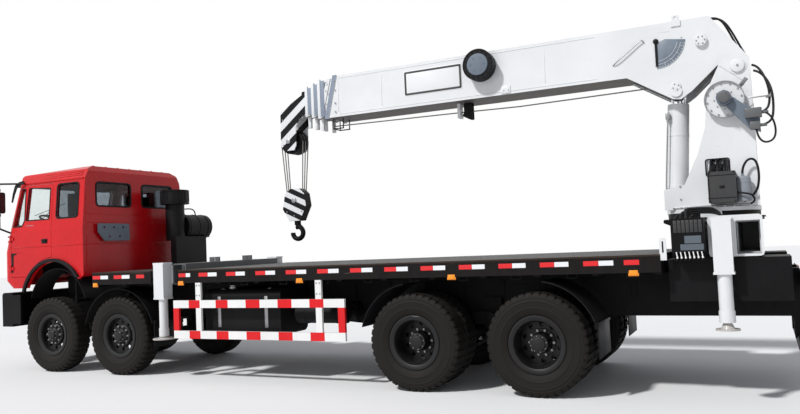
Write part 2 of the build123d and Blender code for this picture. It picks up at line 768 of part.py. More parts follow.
def front_outrigger_box():
    body = box(FRONT_BOX_X0, FRONT_BOX_X1, -BOX_HALF, BOX_HALF, FRONT_BOX_Z0, FRONT_BOX_Z1)
    for x0, x1 in beam_slots(FRONT_BOX_X0, FRONT_BOX_X1):
        body -= box(x0, x1, -BOX_HALF - 20, BOX_HALF + 20, FRONT_BOX_Z0 + BOX_WALL, FRONT_BOX_Z1 - BOX_WALL)
    for y in (-375.0, 375.0):
        for lug in (-60, 60):
            body += box(2480, 2560, y + lug - 10, y + lug + 10, FRONT_BOX_Z1, FRONT_BOX_Z1 + 70)
    return body


# Outriggers: name, side, box x range, box z range, foot z, foot radius, neck height,
# housing z range, cylinder radius
OUTRIGGERS = [
    ("front_left", -1, FRONT_BOX_X0, FRONT_BOX_X1, FRONT_BOX_Z0, FRONT_BOX_Z1, 530, 150, 38, 1070, 1565, 58),
    ("front_right", 1, FRONT_BOX_X0, FRONT_BOX_X1, FRONT_BOX_Z0, FRONT_BOX_Z1, 530, 150, 38, 1070, 1565, 58),
    ("rear_left", -1, REAR_BOX_X0, REAR_BOX_X1, REAR_BOX_Z0, REAR_BOX_Z1 - 30, 720, 110, 74, 1250, 1790, 66),
    ("rear_right", 1, REAR_BOX_X0, REAR_BOX_X1, REAR_BOX_Z0, REAR_BOX_Z1 - 30, 720, 110, 74, 1250, 1790, 66),
]
JACK_CAP = 14.0
JACK_ROD_R = 36.0
JACK_COLLAR = 110.0
JACK_FLANGE = 22.0
JACK_LIP = 8.0
JACK_DEPTH = 172.0
JACK_WIDTH = 172.0
JACK_Y0 = BOX_HALF + 8.0
JACK_Y1 = JACK_Y0 + JACK_DEPTH


def jack_centre(row):
    slot = beam_slots(row[2], row[3])[0 if row[1] < 0 else 1]
    return (slot[0] + slot[1]) / 2, row[1] * (JACK_Y0 + JACK_Y1) / 2


def outrigger_beam(row):
    """Sliding beam with the housing and cylinder of its jack."""
    name, side, x0, x1, z0, z1, foot_z, foot_r, neck, h0, h1, leg_r = row
    slot = beam_slots(x0, x1)[0 if side < 0 else 1]
    bx0, bx1 = slot[0] + BEAM_CLEAR, slot[1] - BEAM_CLEAR
    bz0, bz1 = z0 + BOX_WALL + BEAM_CLEAR, z1 - BOX_WALL - BEAM_CLEAR
    ys = sorted((side * JACK_Y0, -side * BEAM_BACK))
    beam = box(bx0, bx1, *ys, bz0, bz1)
    inner = sorted((side * (JACK_Y0 - 20), -side * (BEAM_BACK + 10)))
    beam -= box(bx0 + BEAM_WALL, bx1 - BEAM_WALL, *inner, bz0 + BEAM_WALL, bz1 - BEAM_WALL)
    cx, cy = jack_centre(row)
    half, deep = JACK_WIDTH / 2, JACK_DEPTH / 2
    beam += box(cx - half, cx + half, cy - deep, cy + deep, h0, h1)
    for z in (h0, h1 - JACK_FLANGE):
        beam += box(cx - half - JACK_LIP, cx + half + JACK_LIP, cy - deep, cy + deep, z, z + JACK_FLANGE)
    low = foot_z + neck
    beam += cyl_z(cx, cy, low, h0 + 5, leg_r)
    beam += cyl_z(cx, cy, low, low + JACK_COLLAR, leg_r + JACK_LIP)
    beam -= cyl_z(cx, cy, low - 10, h1 - JACK_CAP, JACK_ROD_R + SEAT)
    return beam


def outrigger_jack(row):
    """The jack's rod with its ball and foot."""
    name, side, x0, x1, z0, z1, foot_z, foot_r, neck, h0, h1, leg_r = row
    cx, cy = jack_centre(row)
    leg = cyl_z(cx, cy, foot_z + 5, h1 - JACK_CAP - 20, JACK_ROD_R)
    leg += cyl_z(cx, cy, foot_z, foot_z + 14, foot_r)
    leg += Cone(foot_r * 0.6, JACK_ROD_R, neck - 14).moved(Pos(cx, cy, foot_z + 8 + neck / 2 - 3))
    return leg


def valve_bank():
    out = -JACK_Y1 + 10
    body = box(8850, 9150, out, -960, 1470, 1800)
    body += box(8870, 9150, -LOCKER_HALF, -LOCKER_HALF + 90, LOCKER_TOP + SEAT, 1471)
    for i in range(7):
        x = 8890 + 38 * i
        body += rod_between((x, out + 40, 1475), (x, out + 5, 1390), 7)
    return body


def underrun_guard():
    bar = box(9900, 9980, -1150, 1150, 480, 600)
    for y in (-400.0, 400.0):
        bar += box(9880, 9960, y - 25, y + 25, 560, RAIL_Z0 - SEAT)
    plate = box(FRAME_X1 + SEAT, FRAME_X1 + 12, -1200, 1200, 1090, 1240)
    return [bar, plate]


def column():
    y1 = COLUMN_PLATE_Y
    y0 = y1 - COLUMN_PLATE_T
    outline = [
        (8710, SLEW_Z0 + SLEW_H), (8712, 2135), (8926, 2174), (9074, 2486), (9167, 2772),
        (9203, 3154), (9332, 3412), (9375, COLUMN_TOP_Z), (9640, COLUMN_TOP_Z - 30), (9650, 2000),
        (9650, SLEW_Z0 + SLEW_H),
    ]
    body = cyl_z(SLEW_X, 0, SLEW_Z0 + SLEW_H - 40 + SEAT, SLEW_Z0 + SLEW_H, SLEW_R)
    for side in (-1, 1):
        body += prism_y(outline, *sorted((side * y0, side * y1)))
    body += box(9620, 9650, -y0, y0, SLEW_Z0 + SLEW_H, 2980)
    body += prism_y([(9100, 2000), (9130, 2000), (9240, 2760), (9215, 2760)], -y0, y0)
    for side in (-1, 1):
        ys = sorted((side * y1, side * (y1 + 14)))
        body += cyl_y(PIVOT_X, *ys, PIVOT_Z, 90)
        body += box(LIFT_FOOT_X - 80, LIFT_FOOT_X + 80, *sorted((side * 125, side * y0)), LIFT_FOOT_Z - 110, LIFT_FOOT_Z + 60)
    body += cyl_y(PIVOT_X, -y1 - 14, y1 + 14, PIVOT_Z, PIVOT_R)
    body += cyl_y(LIFT_FOOT_X, -y1, y1, LIFT_FOOT_Z, 45)
    for side in (-1, 1):
        head = [(9340, 3420), (9375, COLUMN_TOP_Z), (9640, COLUMN_TOP_Z - 30), (9640, 2960), (9590, 2940), (9560, 3230)]
        body += prism_y(head, *sorted((side * y1, side * (y1 + 8))))
        slot = Pos(9563, 0, 3208) * Rot(0, -49, 0) * Box(110, 60, 44)
        body -= Pos(0, side * (y1 - 4), 0) * slot
    body -= rounded_prism_y(9150, 9380, 2250, 2425, 40, -y1 - 5, -y0 + 5)
    return body


def winch():
    x, z = 9375.0, 3040.0
    y0 = COLUMN_PLATE_Y - COLUMN_PLATE_T
    drum = cyl_y(x, -y0, y0, z, 110)
    for y in (-y0 + 0.3, y0 - 20.3):
        drum += cyl_y(x, y, y + 20, z, 175)
    drum += cyl_y(x, -COLUMN_PLATE_Y - 0.3 - 60, -COLUMN_PLATE_Y - 0.3, z, 190)
    drum += cyl_y(x, -COLUMN_PLATE_Y - 200, -COLUMN_PLATE_Y - 50, z, 75)
    arm = [(9330, 3070), (9400, 3095), (9560, 2960), (9700, 2860), (9700, 2660), (9600, 2700), (9390, 2960)]
    drum += prism_y(arm, -COLUMN_PLATE_Y - 130, -COLUMN_PLATE_Y - 55)
    return drum


def column_box():
    y1 = COLUMN_PLATE_Y + 0.3
    body = rounded_prism_y(9170, 9440, 1950, 2275, 12, -y1 - 230, -y1)
    tank = cyl_z(9500, -y1 - 75, 1960, 2200, 75)
    return [body, tank]


def boom_outline():
    return [
        (COLLAR_X, BOOM_Z0), (8380, BOOM_Z0), (8860, 3130), (8940, 3120), (9060, 3200), (9325, 3440),
        (9440, 3330), (9560, 3300), (9640, 3400), (9631, 3493), (BOOM_REAR_X, BOOM_Z1),
        (COLLAR_X + COLLAR_LEAN, BOOM_Z1),
    ]


def boom_base():
    half = BOOM_HALF
    body = prism_y(boom_outline(), -half, half)
    inner = half - BOOM_WALL
    wall = BOOM_WALL
    # the lower part is only two plates, with the cylinder's eye and the foot between them
    body -= box(8300, 9700, -inner, inner, 3000, BOOM_Z0)
    pads_end = COLLAR_X + COLLAR_LEAN + PAD_LENGTH
    body -= box(pads_end, BOOM_REAR_X - 100, -inner, inner, BOOM_Z0 + wall, BOOM_Z1 - wall)
    body -= mouth(0, COLLAR_X - 100, pads_end + 10)
    for side in (-1, 1):
        ys = sorted((side * half, side * (half + 50)))
        body += cyl_y(PIVOT_X, *ys, PIVOT_Z, 105)
        body += cyl_y(LIFT_HEAD_X, *sorted((side * 105, side * (half + 16))), LIFT_HEAD_Z, 60)
        body += cyl_y(9175, *sorted((side * half, side * (half + 16))), 3731, 62)
        collar = [
            (COLLAR_X - 45, BOOM_Z0 - 12), (COLLAR_X + 15, BOOM_Z0 - 12),
            (COLLAR_X + COLLAR_LEAN + 15, BOOM_Z1 + 12), (COLLAR_X + COLLAR_LEAN - 45, BOOM_Z1 + 12),
        ]
        body += prism_y(collar, *sorted((side * half, side * (half + 12))))
    eye = box(8880, 8980, -half - 14, -half, BOOM_Z1 - 60, BOOM_Z1 + 4)
    eye += box(8895, 8965, -half - 14, -half + 30, BOOM_Z1 - 6, BOOM_Z1 + 60)
    body += eye - cyl_y(8930, -half - 40, -half + 60, BOOM_Z1 + 32, 16)
    # flanges along the lower edges of the two foot plates
    edge = [(8380, BOOM_Z0), (8860, 3130), (8940, 3120), (9060, 3200), (9325, 3440)]
    for (xa, za), (xb, zb) in ((edge[0], edge[1]), (edge[3], edge[4])):
        for side in (-1, 1):
            ys = sorted((side * inner, side * FOOT_FLANGE_IN))
            body += prism_y([(xa, za), (xb, zb), (xb, zb + 16), (xa, za + 16)], *ys)
    body -= cyl_y(PIVOT_X, -500, 500, PIVOT_Z, PIVOT_R + PIN_PLAY)
    body += box(9100, 9460, -inner, inner, 3460, 3480)
    return body


def section_size(i):
    """Half width, bottom and top of telescope section i, with the base as 0."""
    shrink = SECTION_SHRINK * i
    return BOOM_HALF - SECTION_NARROW * i, BOOM_Z0 + shrink, BOOM_Z1 - shrink


def mouth(i, x0, x1):
    """The way through section i's front pads, as the next section needs it."""
    half, z0, z1 = section_size(i + 1)
    return box(x0, x1, -half - SEAT, half + SEAT, z0 - SEAT, z1 + SEAT)


def tail_pads(i, back):
    """A ring at the tail of section i that slides in the section outside it."""
    half, z0, z1 = section_size(i - 1)
    wall = BOOM_WALL + SEAT
    return box(back - PAD_LENGTH, back, -half + wall, half - wall, z0 + wall, z1 - wall)


def boom_section(i):
    """Inner telescope section i, counted from 1."""
    half, z0, z1 = section_size(i)
    x0 = COLLAR_X - SECTION_STEP * i
    back = TAIL_X - 60 * i
    lean = COLLAR_LEAN
    body = prism_y([(x0, z0), (back, z0), (back, z1), (x0 + lean, z1)], -half, half) + tail_pads(i, back)
    inner = half - BOOM_WALL
    pads_end = x0 + lean + PAD_LENGTH
    body -= box(pads_end, back + 10, -inner, inner, z0 + BOOM_WALL, z1 - BOOM_WALL)
    body -= mouth(i, x0 - 200, pads_end + 10)
    lip = 12.0
    collar = [(x0 - 40, z0 - 10), (x0 + 20, z0 - 10), (x0 + lean + 20, z1 + 10), (x0 + lean - 40, z1 + 10)]
    ring = prism_y(collar, -half - lip, half + lip) - mouth(i, x0 - 400, x0 + 600)
    return body + ring


def boom_head():
    """Fifth section with the head's cheek plates."""
    i = 4
    half, z0, z1 = section_size(i)
    x0 = COLLAR_X - SECTION_STEP * i
    back = TAIL_X - 60 * i
    body = box(x0, back, -half, half, z0, z1) + tail_pads(i, back)
    inner = half - BOOM_WALL
    body -= box(x0 - 10, back + 10, -inner, inner, z0 + BOOM_WALL, z1 - BOOM_WALL)
    cheek = [
        (3590, 3150), (3600, 3617), (x0 + 90, z1 - 5), (x0 + 90, z0 + 20), (x0 - 40, z0 - 30),
        (3850, 3380), (3845, 3130), (3810, 3060), (3640, 3060),
    ]
    for side in (-1, 1):
        body += prism_y(cheek, *sorted((side * (half - 2), side * (half + 16))))
    body += cyl_y(HOOK_X, -half - 16, half + 16, HEAD_SHEAVE_Z, SHEAVE_PIN_R)
    body += prism_y([(3610, 3590), (x0 + 60, z1 - 6), (x0 + 60, z1 - 20), (3610, 3575)], -half, half)
    return [body] + head_sheaves()


def head_sheaves():
    pieces = []
    for y in (-70.0, 0.0, 70.0):
        wheel = cyl_y(HOOK_X, y - 24, y + 24, HEAD_SHEAVE_Z, HEAD_SHEAVE_R + 12)
        wheel -= cyl_y(HOOK_X, y - 30, y + 30, HEAD_SHEAVE_Z, SHEAVE_PIN_R + PIN_PLAY)
        pieces.append(wheel)
    return pieces


def cable_reel():
    y = -BOOM_HALF - 0.3
    reel = cyl_y(6665, y - 150, y, 3810, 60)
    reel += cyl_y(6665, y - 150, y - 20, 3810, 190)
    return reel


def lift_dir():
    d = Vector(LIFT_HEAD_X - LIFT_FOOT_X, 0, LIFT_HEAD_Z - LIFT_FOOT_Z)
    return d.normalized()


def lift_barrel():
    foot = Vector(LIFT_FOOT_X, 0, LIFT_FOOT_Z)
    d = lift_dir()
    body = rod_between(foot + d * 60, foot + d * BARREL_LENGTH, BARREL_R)
    body += cyl_y(LIFT_FOOT_X, -110, 110, LIFT_FOOT_Z, 85)
    body -= rod_between(foot + d * 140, foot + d * (BARREL_LENGTH + 10), ROD_R + SEAT)
    body -= cyl_y(LIFT_FOOT_X, -120, 120, LIFT_FOOT_Z, 45 + PIN_PLAY)
    return body


def lift_rod():
    foot = Vector(LIFT_FOOT_X, 0, LIFT_FOOT_Z)
    head = Vector(LIFT_HEAD_X, 0, LIFT_HEAD_Z)
    d = lift_dir()
    body = rod_between(foot + d * 160, head, ROD_R)
    body += cyl_y(LIFT_HEAD_X, -85, 85, LIFT_HEAD_Z, 88)
    return body


def hook_block():
    """Six rope falls, the lower sheave block and its cheek plates."""
    pieces = []
    r = 0.0
    top_z = HEAD_SHEAVE_Z
    half = 75.0
    outline = [
        (HOOK_X - 150, 2460), (HOOK_X - 60, 2525), (HOOK_X + 90, 2525), (HOOK_X + 170, 2450),
        (HOOK_X + 195, 2280), (HOOK_X + 90, 2070), (HOOK_X - 90, 2070), (HOOK_X - 195, 2240),
    ]
    body = prism_y(outline, -half, half)
    for y in (-46.0, 0.0, 46.0):
        for sx in (-1, 1):
            a = (HOOK_X + sx * 130, y, 2470)
            b = (HOOK_X + sx * (HEAD_SHEAVE_R + 21), y * 1.5, HEAD_SHEAVE_Z)
            body += rod_between(a, b, 8)
    return body


def hook():
    top = 2070.0 - SEAT
    shank = cyl_z(HOOK_X, 0, top - 60, top, 45)
    arc = None
    plane = Plane.XZ
    ring = Pos(HOOK_X, 0, 1900) * Rot(90, 0, 0) * Torus(85, 34)
    ring -= box(HOOK_X - 140, HOOK_X - 20, -60, 60, 1905, 2020)
    shank += ring
    shank += rod_between((HOOK_X, 0, 2020), (HOOK_X + 60, 0, 1960), 34)
    return shank


def knuckle(name, side):
    x = AXLE_X[name]
    y = side * KINGPIN_Y
    body = cyl_z(x, y, 440, 484, 58)
    body += cyl_z(x, y, 606, 650, 58)
    outer = sorted((side * (KINGPIN_Y + 30), side * (KINGPIN_Y + 75)))
    body += box(x - 70, x + 70, *sorted((side * (KINGPIN_Y + 62), side * (KINGPIN_Y + 90))), 440, 650)
    for z0, z1 in ((440, 484), (606, 650)):
        body += box(x - 55, x + 55, *sorted((side * KINGPIN_Y, side * (KINGPIN_Y + 90))), z0, z1)
    body += cyl_y(x, *sorted((side * (KINGPIN_Y + 80), side * (FRONT_TYRE_Y + 65))), TYRE_R, SPINDLE_R)
    body += cyl_z(x, y, 445, 645, KINGPIN_R)
    return body


def tyre_profile(y_mid):
    """Half section of a tyre as (y, radius) points."""
    w = TYRE_W / 2
    bead = RIM_R - 30 + RIM_GAP
    return [
        (y_mid - w * 0.72, bead), (y_mid - w * 0.72, RIM_FLANGE_R + 6), (y_mid - w, RIM_FLANGE_R + 55),
        (y_mid - w, TYRE_R - 110), (y_mid - w * 0.86, TYRE_R - 22),
        (y_mid - w * 0.7, TYRE_R), (y_mid + w * 0.7, TYRE_R), (y_mid + w * 0.86, TYRE_R - 22),
        (y_mid + w, TYRE_R - 110), (y_mid + w, RIM_FLANGE_R + 55), (y_mid + w * 0.72, RIM_FLANGE_R + 6),
        (y_mid + w * 0.72, bead),
    ]


def revolve_about_axle(points, x):
    """Spin a (y, radius) outline about a wheel's axle at x."""
    face = make_face(Polyline(*[(x + r, y, 0) for y, r in points], close=True))
    spun = revolve(face, axis=Axis((x, 0, 0), (0, 1, 0)))
    return Pos(0, 0, TYRE_R) * spun


def disc_hole_centres(x):
    """Centres of the hand holes round a wheel's disc."""
    turns = [2 * math.pi * (i + 0.5) / DISC_HOLES for i in range(DISC_HOLES)]
    return [(x + DISC_HOLE_CIRCLE * math.cos(a), TYRE_R + DISC_HOLE_CIRCLE * math.sin(a)) for a in turns]


def front_wheel(name, side):
    x = AXLE_X[name]
    y = side * FRONT_TYRE_Y
    tyre = revolve_about_axle(tyre_profile(y), x)
    bead = RIM_R - 30
    w = TYRE_W / 2 * 0.72
    out = side * 1.0
    lip = w + RIM_GAP + RIM_FLANGE_T
    rim = [
        (y - out * w, bead), (y + out * (w + RIM_GAP), bead), (y + out * (w + RIM_GAP), RIM_FLANGE_R),
        (y + out * lip, RIM_FLANGE_R), (y + out * lip, bead - 8), (y + out * 20, bead - 26),
        (y + out * 60, 170), (y + out * 85, 120), (y + out * 100, 90), (y + out * 100, 0.0),
        (y + out * 70, 0.0), (y + out * 70, SPINDLE_R + PIN_PLAY), (y - out * 20, SPINDLE_R + PIN_PLAY),
        (y - out * 20, HUB_R), (y + out * 5, HUB_R), (y + out * 5, bead - 45),
        (y - out * w, bead - 20),
    ]
    rim_body = revolve_about_axle(rim, x)
    for cx, cz in disc_hole_centres(x):
        rim_body -= cyl_y(cx, *sorted((y - out * 30, y + out * 120)), cz, DISC_HOLE_R)
    return [tyre, rim_body]


def rear_wheel(name, side):
    x = AXLE_X[name]
    pieces = []
    bead = RIM_R - 30
    w = TYRE_W / 2 * 0.72
    y_out = side * REAR_OUTER_Y
    y_in = side * (REAR_OUTER_Y - TWIN_SPACING)
    for y in (y_out, y_in):
        pieces.append(revolve_about_axle(tyre_profile(y), x))
    s = side
    lip = w + RIM_GAP + RIM_FLANGE_T
    rim = [
        (y_out + s * (w + RIM_GAP), bead), (y_in - s * w, bead), (y_in - s * w, bead - 20), (y_in + s * 90, bead - 26),
        (y_in + s * 130, 120), (y_in - s * 60, 120), (y_in - s * 60, SPINDLE_R + PIN_PLAY), (y_in + s * 240, SPINDLE_R + PIN_PLAY),
        (y_in + s * 240, 0.0), (y_out + s * 40, 0.0), (y_out + s * 40, 110), (y_out - s * 120, 150),
        (y_out - s * 120, bead - 26), (y_out + s * lip, bead - 8), (y_out + s * lip, RIM_FLANGE_R),
        (y_out + s * (w + RIM_GAP), RIM_FLANGE_R),
    ]
    body = revolve_about_axle(rim, x)
    hole_y = sorted((y_out - s * 60, y_in + s * 60))
    for cx, cz in disc_hole_centres(x):
        body -= cyl_y(cx, *hole_y, cz, DISC_HOLE_R)
    pieces.append(body)
    return pieces


def build():
    nodes = {
        "chassis_frame": chassis_frame() + subframe(),
        "deck": deck(),
        "bumper": bumper(),
        "lamps": lamps(),
        "guards": side_guards() + underrun_guard(),
        "tanks": tanks() + side_lockers(),
        "axles": front_axles() + [rear_axles()],
        "springs": springs(),
        "driveline": driveline(),
        "mudguards": mudguards(),
        "intake": intake(),
        "slew_base": slew_base(),
        "front_outrigger_box": front_outrigger_box(),
        "valve_bank": valve_bank(),
        "cab_shell": cab_shell(),
        "cab_trim": cab_flares() + [rear_plate()],
        "cab_glass": cab_glass(),
        "cab_interior": cab_interior(),
        "mirrors": mirrors(),
        "door_left": door(-1),
        "door_right": door(1),
        "door_glass_left": door_glass(-1),
        "door_glass_right": door_glass(1),
        "column": column(),
        "winch": winch(),
        "column_box": column_box(),
        "boom_base": boom_base(),
        "boom_head": boom_head(),
        "cable_reel": cable_reel(),
        "lift_barrel": lift_barrel(),
        "lift_rod": lift_rod(),
        "hook_block": hook_block(),
        "hook": hook(),
    }
    for i in (1, 2, 3):
        nodes[f"boom_section_{i + 1}"] = boom_section(i)
    for row in OUTRIGGERS:
        nodes[f"beam_{row[0]}"] = outrigger_beam(row)
        nodes[f"jack_{row[0]}"] = outrigger_jack(row)
    for name in ("1", "2"):
        for word, side in (("left", -1), ("right", 1)):
            nodes[f"knuckle_{name}_{word}"] = knuckle(name, side)
            nodes[f"wheel_{name}_{word}"] = front_wheel(name, side)
    for name in ("3", "4"):
        for word, side in (("left", -1), ("right", 1)):
            nodes[f"wheels_{name}_{word}"] = rear_wheel(name, side)
    return nodes


def solids_of(shape):
    parts = shape if isinstance(shape, list) else [shape]
    out = []
    for part in parts:
        out += part.solids()
    return out


def main():
    os.makedirs("parts", exist_ok=True)
    shift = Pos(-(FRONT_X + REAR_X) / 2, 0, 0)
    for name, shape in build().items():
        moved = [shift * solid for solid in solids_of(shape)]
        export_step(Compound(children=moved) if len(moved) > 1 else moved[0], f"parts/{name}.step")


main()
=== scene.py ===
# %% [markdown]
# # A truck-mounted crane
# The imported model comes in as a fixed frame: every node already stands at its real place, in metres, and rides
# on its own body. This lesson adds what the solids leave out: paint, rubber, glass, ropes, hoses, treads, bolts,
# stripes and reflectors, and then the camera and the light.

# %% Load the frame
import bpy
import bmesh
import math
from mathutils import Matrix, Vector


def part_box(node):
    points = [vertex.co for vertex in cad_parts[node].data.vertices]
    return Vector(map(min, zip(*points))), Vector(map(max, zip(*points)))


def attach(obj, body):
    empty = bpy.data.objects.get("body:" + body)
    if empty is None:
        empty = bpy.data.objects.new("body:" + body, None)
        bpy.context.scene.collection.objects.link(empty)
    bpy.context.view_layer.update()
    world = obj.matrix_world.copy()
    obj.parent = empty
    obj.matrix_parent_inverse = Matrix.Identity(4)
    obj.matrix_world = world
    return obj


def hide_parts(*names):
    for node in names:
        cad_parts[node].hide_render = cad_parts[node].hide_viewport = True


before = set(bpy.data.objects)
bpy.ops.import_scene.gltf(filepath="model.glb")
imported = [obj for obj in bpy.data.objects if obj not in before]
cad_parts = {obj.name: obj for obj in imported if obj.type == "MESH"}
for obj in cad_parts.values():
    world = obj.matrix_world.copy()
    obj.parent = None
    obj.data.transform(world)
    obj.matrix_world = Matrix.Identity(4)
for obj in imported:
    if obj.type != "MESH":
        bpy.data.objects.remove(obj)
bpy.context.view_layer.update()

SHIFT = -4.43  # from the first axle to the middle of the truck's length

# %% [markdown]
# ## Where things are
# The measurements of this truck are taken from its first axle, so a small helper turns such a place into the
# frame's own coordinates, whose origin is under the middle of the truck.


# %% A place on the truck
def at(x, y, z):
    """A point measured from the first axle, as a point of the frame."""
    return Vector((x + SHIFT, y, z))


def span(side, a, b):
    """Limits along Y on one side of the truck, from their distances to its middle."""
    return sorted((side * a, side * b))


def proud(y, side, sunk, out):
    """Limits along Y of a strip that is sunk into a side wall at y and stands out of it."""
    return sorted((y - side * sunk, y + side * out))


# %% [markdown]
# ## Effects that many finishes share
# Dust, grime and fine scratches show on almost every painted part of a working truck. Each is a small shader
# group with named inputs, so that every finish can use it with its own strength.


# %% Helpers for node groups
def new_group(name, inputs, outputs):
    group = bpy.data.node_groups.new(name, "ShaderNodeTree")
    for label, kind, value in inputs:
        socket = group.interface.new_socket(label, in_out="INPUT", socket_type=kind)
        if value is not None:
            socket.default_value = value
    for label, kind in outputs:
        group.interface.new_socket(label, in_out="OUTPUT", socket_type=kind)
    return group, group.nodes.new("NodeGroupInput"), group.nodes.new("NodeGroupOutput")


def noise(tree, scale, detail=4.0, roughness=0.6, vector=None):
    node = tree.nodes.new("ShaderNodeTexNoise")
    node.inputs["Scale"].default_value = scale
    node.inputs["Detail"].default_value = detail
    node.inputs["Roughness"].default_value = roughness
    if vector is not None:
        tree.links.new(vector, node.inputs["Vector"])
    return node.outputs["Fac"]


def ramp(tree, source, low, high):
    """Spread a value so that low becomes 0 and high becomes 1."""
    node = tree.nodes.new("ShaderNodeMapRange")
    node.inputs["From Min"].default_value = low
    node.inputs["From Max"].default_value = high
    tree.links.new(source, node.inputs["Value"])
    return node.outputs["Result"]


def maths(tree, operation, a, b=None):
    node = tree.nodes.new("ShaderNodeMath")
    node.operation = operation
    for socket, value in zip(node.inputs, (a, b)):
        if value is None:
            continue
        if isinstance(value, (int, float)):
            socket.default_value = value
        else:
            tree.links.new(value, socket)
    return node.outputs[0]


def mix_colours(tree, factor, a, b):
    node = tree.nodes.new("ShaderNodeMix")
    node.data_type = "RGBA"
    for name, value in (("Factor", factor), ("A", a), ("B", b)):
        kind = "VALUE" if name == "Factor" else "RGBA"
        socket = next(s for s in node.inputs if s.name == name and s.type == kind)
        if isinstance(value, (int, float)):
            socket.default_value = value
        elif isinstance(value, tuple):
            socket.default_value = (*value, 1.0)
        else:
            tree.links.new(value, socket)
    return next(s for s in node.outputs if s.type == "RGBA")


# %% Road dust and grime
def make_road_dust():
    """Dust that lies thicker near the ground and in faint upright streaks."""
    group, inp, out = new_group(
        "road_dust",
        [("Place", "NodeSocketVector", None), ("Amount", "NodeSocketFloat", 0.3),
         ("Height", "NodeSocketFloat", 1.5)],
        [("Mask", "NodeSocketFloat")],
    )
    place = inp.outputs["Place"]
    split = group.nodes.new("ShaderNodeSeparateXYZ")
    group.links.new(place, split.inputs[0])
    low = maths(group, "DIVIDE", split.outputs["Z"], inp.outputs["Height"])
    low = maths(group, "SUBTRACT", 1.15, low)
    stretch = group.nodes.new("ShaderNodeMapping")
    stretch.inputs["Scale"].default_value = (5.0, 5.0, 0.9)
    group.links.new(place, stretch.inputs["Vector"])
    streak = ramp(group, noise(group, 2.6, 6.0, 0.7, stretch.outputs[0]), 0.36, 0.72)
    cloud = ramp(group, noise(group, 3.4, 5.0, 0.6, place), 0.3, 0.75)
    total = maths(group, "ADD", maths(group, "MULTIPLY", streak, 0.55), maths(group, "MULTIPLY", cloud, 0.45))
    total = maths(group, "MULTIPLY", total, maths(group, "MAXIMUM", low, 0.22))
    total = maths(group, "MULTIPLY", total, inp.outputs["Amount"])
    total.node.use_clamp = True
    group.links.new(total, out.inputs["Mask"])
    return group


ROAD_DUST = make_road_dust()


# %% Fine unevenness of paint
def make_paint_skin():
    """Slow waves and fine orange-peel as a height, and sparse scratches as a mask."""
    group, inp, out = new_group(
        "paint_skin",
        [("Place", "NodeSocketVector", None), ("Grain", "NodeSocketFloat", 60.0)],
        [("Height", "NodeSocketFloat"), ("Scratch", "NodeSocketFloat")],
    )
    place = inp.outputs["Place"]
    fine = group.nodes.new("ShaderNodeTexNoise")
    group.links.new(place, fine.inputs["Vector"])
    group.links.new(inp.outputs["Grain"], fine.inputs["Scale"])
    fine.inputs["Detail"].default_value = 3.0
    wave = noise(group, 1.3, 2.0, 0.5, place)
    stretch = group.nodes.new("ShaderNodeMapping")
    stretch.inputs["Scale"].default_value = (3.0, 60.0, 34.0)
    stretch.inputs["Rotation"].default_value = (0.0, 0.12, 0.0)
    group.links.new(place, stretch.inputs["Vector"])
    scratch = ramp(group, noise(group, 1.0, 2.0, 0.5, stretch.outputs[0]), 0.70, 0.78)
    patch = ramp(group, noise(group, 1.7, 3.0, 0.5, place), 0.52, 0.62)
    scratch = maths(group, "MULTIPLY", scratch, patch)
    height = maths(group, "ADD", maths(group, "MULTIPLY", fine.outputs["Fac"], 0.25), wave)
    group.links.new(height, out.inputs["Height"])
    group.links.new(scratch, out.inputs["Scratch"])
    return group


PAINT_SKIN = make_paint_skin()


# %% Rust spots
def make_rust_spots():
    group, inp, out = new_group(
        "rust_spots",
        [("Place", "NodeSocketVector", None), ("Amount", "NodeSocketFloat", 0.2)],
        [("Mask", "NodeSocketFloat")],
    )
    place = inp.outputs["Place"]
    spots = noise(group, 16.0, 8.0, 0.7, place)
    edge = maths(group, "SUBTRACT", 0.80, maths(group, "MULTIPLY", inp.outputs["Amount"], 0.3))
    over = maths(group, "SUBTRACT", spots, edge)
    mask = maths(group, "MULTIPLY", over, 22.0)
    mask.node.use_clamp = True
    group.links.new(mask, out.inputs["Mask"])
    return group


RUST_SPOTS = make_rust_spots()


# %% [markdown]
# ## Finishes
# One maker function gives every painted metal: a base colour that drifts a little, dust that hides it near the
# road, a few scratches down to primer and a soft bump. Sockets that hold one plain number are set directly.


# %% Painted metal
def new_material(name):
    """An empty material, with its tree, its shader and the place on the object."""
    material = bpy.data.materials.new(name)
    material.use_nodes = True
    tree = material.node_tree
    place = tree.nodes.new("ShaderNodeTexCoord").outputs["Object"]
    return material, tree, tree.nodes["Principled BSDF"], place


def parts_of(material):
    """The same parts of a material that is made already."""
    tree = material.node_tree
    place = next(n for n in tree.nodes if n.type == "TEX_COORD").outputs["Object"]
    return tree, tree.nodes["Principled BSDF"], place


def add_bump(tree, shader, height, strength, distance):
    lump = tree.nodes.new("ShaderNodeBump")
    lump.inputs["Strength"].default_value = strength
    lump.inputs["Distance"].default_value = distance
    tree.links.new(height, lump.inputs["Height"])
    tree.links.new(lump.outputs["Normal"], shader.inputs["Normal"])


def use_group(tree, group, place, **values):
    node = tree.nodes.new("ShaderNodeGroup")
    node.node_tree = group
    tree.links.new(place, node.inputs["Place"])
    for name, value in values.items():
        node.inputs[name].default_value = value
    return node


